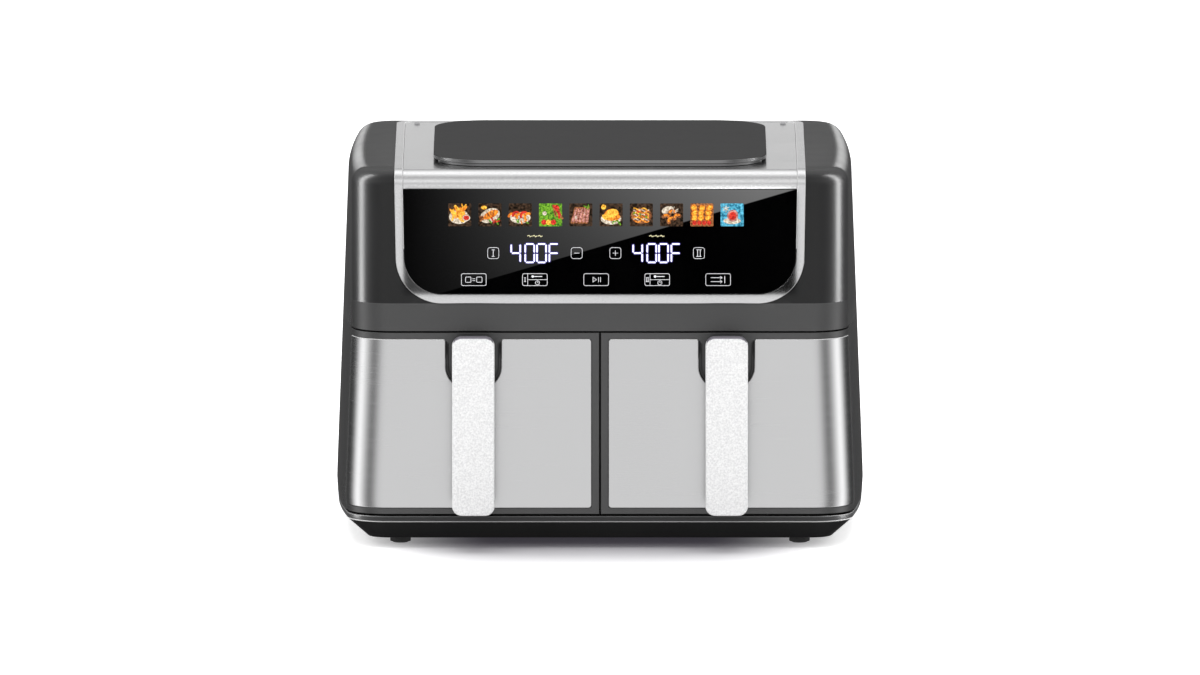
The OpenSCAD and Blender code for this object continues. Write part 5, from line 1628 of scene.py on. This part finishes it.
def draw_chicken(x, dice):
    sign = start_tile(x, table_dark)
    sign.blob(food_cream, 0, -3, 7.8, 4.4)
    sign.blob(food_orange, 0.4, 0, 5.8, 4.6, 12)
    sign.blob(food_gold, 0.8, 1.2, 4.6, 3.2, 18)
    sign.blob(food_gold, -4.2, -1.8, 2.9, 1.8, -30)
    sign.blob(food_orange, 4.4, -2.2, 2.8, 1.7, 32)
    sign.blob(food_gold, -5.6, 6, 1.9)
    sticks(sign, dice, [food_green], 5, (3.5, -5.8), (4, 1), 2, 0.9)


def draw_noodles(x, dice):
    sign = start_tile(x, table_dark)
    sign.blob(food_brown, 0, -0.6, 7.9, 6)
    for i in range(9):
        z = 4.4 - i * 1.15
        sign.bar([food_gold, food_cream, food_orange][i % 3],
                 [(t * 1.4, z + 0.9 * math.sin(t * 1.3 + i * 1.7)) for t in range(-4, 5)], 0.8)
    sticks(sign, dice, [food_red, food_green, food_brown], 8, (0, 0), (5.5, 4), 1.4, 1.0)


def draw_pastry(x, dice):
    sign = start_tile(x, table_dark)
    sign.blob(food_cream, -3, 3.6, 4.6, 2.8, 20)
    for i, (px, pz) in enumerate(((-4, -2.4), (0.6, 0.8), (4.4, -2.4), (0, -4.6))):
        crescent(sign, food_brown, px, pz, 2.2, 10 + i * 20, 2.9, 140)
        crescent(sign, food_orange, px, pz + 0.3, 2.2, 20 + i * 20, 1.3, 110)
    sticks(sign, dice, [food_cream], 4, (3.6, 4.4), (3, 2), 2.4, 0.6)


def draw_dried_fruit(x, dice):
    sign = start_tile(x, food_brown)
    for i in range(9):
        px, pz = -5.6 + (i % 3) * 5.4 + dice.uniform(-0.6, 0.6), 5.4 - (i // 3) * 3.8
        sign.blob(food_orange, px, pz, 2.6, 2.1, dice.uniform(0, 90))
        sign.blob(food_gold, px, pz, 1.8, 1.3, dice.uniform(0, 90))
    for i in range(4):
        sign.blob(food_red, -5.6 + i * 3.7, -6, 1.7)


def draw_frozen(x, dice):
    sign = start_tile(x, food_teal)
    sign.blob(food_cream, 0, -4.6, 6.6, 2.4)
    sign.blob(food_pink, 0.4, -0.6, 4.2, 4.6, -14)
    sign.blob(food_red, 0.4, -0.8, 2.8, 3.2, -14)
    for i in range(3):
        way = Vector((math.cos(math.radians(60 * i + 30)), math.sin(math.radians(60 * i + 30)))) * 2.4
        sign.bar(food_cream, [Vector((-4.6, 4.6)) - way, Vector((-4.6, 4.6)) + way], 0.6)


pictures = (draw_chips, draw_fish, draw_prawns, draw_vegetables, draw_steak, draw_chicken, draw_noodles,
            draw_pastry, draw_dried_fruit, draw_frozen)
for number, draw_picture in enumerate(pictures):
    draw_picture(-105.9 + 22.85 * number, random.Random(number))

SEGMENTS = {"a": ((-1, 2), (1, 2)), "b": ((1, 2), (1, 0)), "c": ((1, 0), (1, -2)), "d": ((1, -2), (-1, -2)),
            "e": ((-1, -2), (-1, 0)), "f": ((-1, 0), (-1, 2)), "g": ((-1, 0), (1, 0))}
digit_z = 224.5


def draw_digits(x):
    """Lit seven-segment digits and their unit, over a soft glow."""
    sign = Sign(x, digit_z)
    glyphs = list(zip((-14.4, -3.8, 5.1, 14.4), ("bcfg", "abcdef", "abcdef", "aefg")))
    for ink, width in ((digit_glow, 2.2), (digit_light, 0.98)):
        for middle, segments in glyphs:
            for segment in segments:
                ends = [Vector((middle + u * 3.4, w * 3.5)) for u, w in SEGMENTS[segment]]
                trim = (ends[1] - ends[0]).normalized() * 1.05
                sign.bar(ink, [ends[0] + trim, ends[1] - trim], width)
        sign.layer = 30


def draw_level_mark(x):
    """Three little waves, for turning the food."""
    sign = Sign(x, 237.5)
    for i in (-1, 0, 1):
        sign.bar(sign_yellow, [(i * 4 + t - 1.5, 0.7 * math.sin(t * 2.1)) for t in range(4)], 0.55)


def numeral(sign, x, z, size, count):
    """Upright strokes between two level ones."""
    reach = size * (0.4 if count == 1 else 0.75)
    sign.bar(sign_white, [(x - reach, z + size), (x + reach, z + size)], 0.32)
    sign.bar(sign_white, [(x - reach, z - size), (x + reach, z - size)], 0.32)
    for i in range(count):
        u = x + (i - (count - 1) / 2) * size * 0.8
        sign.bar(sign_white, [(u, z - size), (u, z + size)], 0.38)


def small_button(x):
    sign = Sign(x, digit_z)
    sign.outline(sign_white, 8.7, 8.7, 2, 0.30)
    return sign


def large_button(x):
    sign = Sign(x, 204.3)
    sign.outline(sign_white, 19, 9.4, 1.5, 0.32)
    return sign


def draw_heat_and_time(x, count):
    """A button in three cells: which drawer, a thermometer, and a clock."""
    sign = large_button(x)
    sign.bar(sign_white, [(-5.4, -4.4), (-5.4, 4.4)], 0.32)
    sign.bar(sign_white, [(-5.2, 0), (9.2, 0)], 0.32)
    numeral(sign, -7.4, 0, 1.5, count)
    sign.bar(sign_white, [(-1.4, 2.4), (5.4, 2.4)], 0.5)
    sign.blob(sign_white, -1.6, 2.4, 0.95)
    sign.patch(sign_white, circle(2, -2.4, 1.75), hole(circle(2, -2.4, 1.42)))
    sign.bar(sign_white, [(2, -1.5), (2, -2.4), (2.8, -2.4)], 0.3)


for shift in (-49.2, 42.9):
    draw_digits(shift)
    draw_level_mark(shift)
numeral(small_button(-80.6), 0, 0, 2.5, 1)
numeral(small_button(74.7), 0, 0, 2.5, 2)
small_button(-17.6).bar(sign_white, [(-1.9, 0), (1.9, 0)], 0.32)
plus = small_button(11.6)
plus.bar(sign_white, [(-1.9, 0), (1.9, 0)], 0.32)
plus.bar(sign_white, [(0, -1.9), (0, 1.9)], 0.32)
draw_heat_and_time(-49.2, 1)
draw_heat_and_time(43.2, 2)
play = large_button(-2.9)
arrow = ((-0.6, -1), (1, 0), (-0.6, 1))
play.patch(sign_white, *([Vector((-1.4 + 1.9 * u * size, 2.1 * w * size)) for u, w in arrow]
                         for size in (1, 0.72)))
for pause_x in (1.8, 3.3):
    play.bar(sign_white, [(pause_x, -1.8), (pause_x, 1.8)], 0.34)
match = large_button(-95.3)
for square_x in (-4.2, 4.2):
    match.patch(sign_white, round_rect(square_x - 2.2, square_x + 2.2, -2.2, 2.2, 0.8, 3, 2),
                hole(round_rect(square_x - 1.85, square_x + 1.85, -1.85, 1.85, 0.5, 3, 2)))
for sign_z in (-0.7, 0.7):
    match.bar(sign_white, [(-0.9, sign_z), (0.9, sign_z)], 0.34)
together = large_button(89.2)
together.bar(sign_white, [(5, -2.6), (5, 2.6)], 0.4)
for sign_z in (-1.5, 1.5):
    together.bar(sign_white, [(-5.4, sign_z), (3, sign_z)], 0.34)
    together.bar(sign_white, [(1.6, sign_z - 1.1), (3.1, sign_z), (1.6, sign_z + 1.1)], 0.34)

for ink_name, sheet in print_sheets.items():
    piece(f"sign_{ink_name}", sheet, bpy.data.materials[ink_name], "casing", ())

# ---------------------------------------------------------------- stage
floor = bpy.data.meshes.new("floor")
floor.from_pydata([(-60, -60, 0), (60, -60, 0), (60, 60, 0), (-60, 60, 0)], [], [(0, 1, 2, 3)])
floor_piece = bpy.data.objects.new("floor", floor)
bpy.context.scene.collection.objects.link(floor_piece)
floor_white, floor_nodes, floor_shader = new_finish(
    "floor_white", roughness=0.9, specular_ior_level=0.1, emission_strength=0.60)
floor_at = floor_nodes.add("SeparateXYZ", {0: floor_nodes.place()}).outputs


def past_painted_shadow(axis, half, fade):
    """How far out of the painted shadow in the middle a floor point lies along one axis, squared."""
    beyond = floor_nodes.math("SUBTRACT", floor_nodes.math("ABSOLUTE", floor_at[axis]), half)
    share = floor_nodes.math("DIVIDE", beyond, fade)
    return floor_nodes.math("POWER", floor_nodes.math("MAXIMUM", share, 0), 2)


# Painted shadow: the floor's glow and colour are darkened under and round the object, fading out along X and
# Y.
out_sum = floor_nodes.math("ADD", past_painted_shadow("X", 80, 100), past_painted_shadow("Y", 128, 185))
clear_of_painted_shadow = floor_nodes.remap(out_sum, 0.0, 1.0, 0.0, 1.0)
floor_nodes.feed(floor_shader["Emission Color"], floor_nodes.mix(
    clear_of_painted_shadow, (0.06, 0.055, 0.07), (1.0, 1.0, 1.0)))
floor_tone = floor_nodes.noise(floor_nodes.place(), 0.004, 3)
floor_open = floor_nodes.mix(floor_tone, (0.93, 0.93, 0.93), (0.95, 0.95, 0.95))
floor_nodes.feed(floor_shader["Base Color"], floor_nodes.mix(
    floor_nodes.math("POWER", clear_of_painted_shadow, 0.5), (0.43, 0.42, 0.44), floor_open))
floor.materials.append(floor_white)
floor_piece.visible_glossy = False

bpy.context.scene.view_settings.view_transform = "Standard"

# The studio round the object: how bright it is by direction.
world = bpy.data.worlds.new("studio")
bpy.context.scene.world = world
world.use_nodes = True
studio = Nodes(world.node_tree)
BRIGHTEST = 2.5


def brightness(turn, stops):
    """The room's level along a turn from 0 to 180 degrees, through stops of (degrees, level)."""
    ramp = studio.add("ValToRGB", {"Fac": studio.math("DIVIDE", turn, math.pi)})
    ramp.color_ramp.interpolation = "B_SPLINE"
    marks = ramp.color_ramp.elements
    while len(marks) < len(stops):
        marks.new(0.5)
    for mark, (degrees, level) in zip(marks, stops):
        mark.position = degrees / 180
        mark.color = (level / BRIGHTEST,) * 3 + (1,)
    return studio.math("MULTIPLY", ramp.outputs["Color"], BRIGHTEST)


LEVEL_ROUND = (     # level with the object, from the front round either side to the back
    (0, 1.0), (22, 1.0), (33, 0.56), (45, 0.16), (58, 0.28), (76, 1.2), (90, 2.0), (104, 0.9),
    (117, 0.12), (134, 0.04), (150, 0.05), (168, 0.10), (180, 0.14))
LEVEL_OVER = (      # from the front, over the top, to the back
    (0, 0.35), (9, 0.5), (27, 1.35), (43, 0.8), (58, 0.5), (76, 0.85), (98, 1.7), (118, 1.25),
    (138, 0.75), (152, 0.5), (166, 0.22), (180, 0.17))
way = studio.add("SeparateXYZ", {0: studio.add("TexCoord").outputs["Generated"]}).outputs
ahead = studio.math("MULTIPLY", way["Y"], -1)
round_turn = studio.math("ABSOLUTE", studio.math("ARCTAN2", way["X"], ahead))
over_turn = studio.math("ABSOLUTE", studio.math("ARCTAN2", studio.math("MAXIMUM", way["Z"], 0), ahead))
raised = studio.remap(way["Z"], 0.0, 0.2, 0.0, 1.0)
level_part = studio.math("MULTIPLY", brightness(round_turn, LEVEL_ROUND), studio.math("SUBTRACT", 1, raised))
over_part = studio.math("MULTIPLY", brightness(over_turn, LEVEL_OVER), raised)
# Beyond the floor the backdrop itself is seen as plain white.
seen = studio.add("LightPath").outputs["Is Camera Ray"]
level = studio.math("MULTIPLY", studio.math("ADD", level_part, over_part), studio.math("SUBTRACT", 1, seen))
background = world.node_tree.nodes["Background"]
studio.feed(background.inputs["Strength"], studio.math("ADD", level, seen))
background.inputs["Color"].default_value = (1, 1, 1, 1)


def soft_light(name, azimuth, distance, height, size, power, lit=None, glossy=True, aim_z=None):
    """A flat rectangular light that faces the object. Lit pieces are the only ones it reaches."""
    data = bpy.data.lights.new(name, "AREA")
    data.shape = "RECTANGLE"
    data.size, data.size_y = size
    data.energy = power
    light = bpy.data.objects.new(name, data)
    bpy.context.scene.collection.objects.link(light)
    a = math.radians(azimuth)
    light.location = (math.sin(a) * distance, -math.cos(a) * distance, height)
    target = Vector((0, 0, (height if distance else 0) if aim_z is None else aim_z))
    light.rotation_mode = "QUATERNION"
    light.rotation_quaternion = (target - light.location).to_track_quat("-Z", "Y")
    light.visible_glossy = glossy
    if lit:
        receivers = bpy.data.collections.new(name + "_lit")
        for obj in lit:
            receivers.objects.link(obj)
        light.light_linking.receiver_collection = receivers


def pieces_of(*finishes):
    """The pieces whose first material is one of these."""
    return [o for o in bpy.context.scene.objects
            if o.type == "MESH" and o.data.materials and o.data.materials[0] in finishes]


black_pieces = pieces_of(casing_black, base_black)
silver_pieces = pieces_of(deck_silver, frame_silver, front_steel)
for side, sign in SIDES:
    soft_light(f"{side}_strip", sign * 90, 1.6, 1.20, (0.46, 2.7), 100, black_pieces)
    soft_light(f"{side}_rear", sign * 167, 2.4, 0.60, (0.4, 0.5), 1.3,
               [bpy.data.objects["upper_casing"]], aim_z=0.25)
soft_light("rear_silver", 180, 2.2, 0.55, (3.0, 0.75), 3.8, silver_pieces)
soft_light("overhead", 0, 0, 3.0, (3.0, 3.0), 60, glossy=False)


def reflected_card():
    """A dark card close to the glass, with a light sweep across its upper left. Only reflections show it."""
    gap = 14.0
    drop = gap * math.tan(math.radians(7))
    x1, z0, z1 = frame_half_w - frame_band - 0.5, glass_z0 - drop, glass_z1 - drop
    y = glass_low.y - gap
    mesh = bpy.data.meshes.new("reflected_card")
    corners = ((-x1, z0), (-x1, z1), (x1, z1), (x1, z0))
    mesh.from_pydata([Vector((x, y, z)) * MM for x, z in corners], [], [(0, 1, 2, 3)])
    card = bpy.data.objects.new("reflected_card", mesh)
    bpy.context.scene.collection.objects.link(card)
    material = bpy.data.materials.new("card_light")
    material.use_nodes = True
    nodes = Nodes(material.node_tree)
    material.node_tree.nodes.remove(material.node_tree.nodes["Principled BSDF"])
    point = nodes.add("SeparateXYZ", {0: nodes.place()}).outputs
    low = Vector(((437 - 600) / 1.3175, (547.1 - 295) / 1.3077 - drop))
    high = Vector(((795 - 600) / 1.3175, (547.1 - 190) / 1.3077 - drop))
    slope = (high.y - low.y) / (high.x - low.x)
    along = nodes.math("SUBTRACT", point["X"], low.x)
    above = nodes.math("SUBTRACT", point["Z"], nodes.math("MULTIPLY", along, slope))
    edge = nodes.remap(above, low.y - 0.3, low.y + 0.3, 0.0, 1.0)
    sweep = nodes.remap(point["X"], -148, 120, 0.0, 1.0)
    raised = nodes.remap(point["Z"], z0, z1, 0.35, 1.0)
    level = nodes.math("MULTIPLY", nodes.math("POWER", sweep, 1.3), raised)
    glow = nodes.math("MULTIPLY", nodes.math("ADD", nodes.math("MULTIPLY", level, 4.2), 0.05), edge)
    emission = nodes.add("Emission", {"Strength": glow})
    nodes.feed(material.node_tree.nodes["Material Output"].inputs["Surface"], emission.outputs[0])
    mesh.materials.append(material)
    card.visible_camera = False
    card.visible_diffuse = False
    card.visible_shadow = False
    card.visible_transmission = False


reflected_card()

# ---------------------------------------------------------------- camera
camera = bpy.data.objects.new("camera", bpy.data.cameras.new("camera"))
bpy.context.scene.collection.objects.link(camera)
bpy.context.scene.camera = camera
elevation = math.radians(7.45)
aim = Vector((0, front_y, 160.6)) * MM
camera_distance = 24.0
frame_width = 1200 / 1.3175 * MM
back = Vector((0, -math.cos(elevation), math.sin(elevation)))
camera.location = aim + back * camera_distance
camera.rotation_mode = "QUATERNION"
camera.rotation_quaternion = (-back).to_track_quat("-Z", "Y")
camera.data.sensor_width = 36
camera.data.lens = 36 * (camera_distance + 0.12) / frame_width
camera.data.clip_end = 100
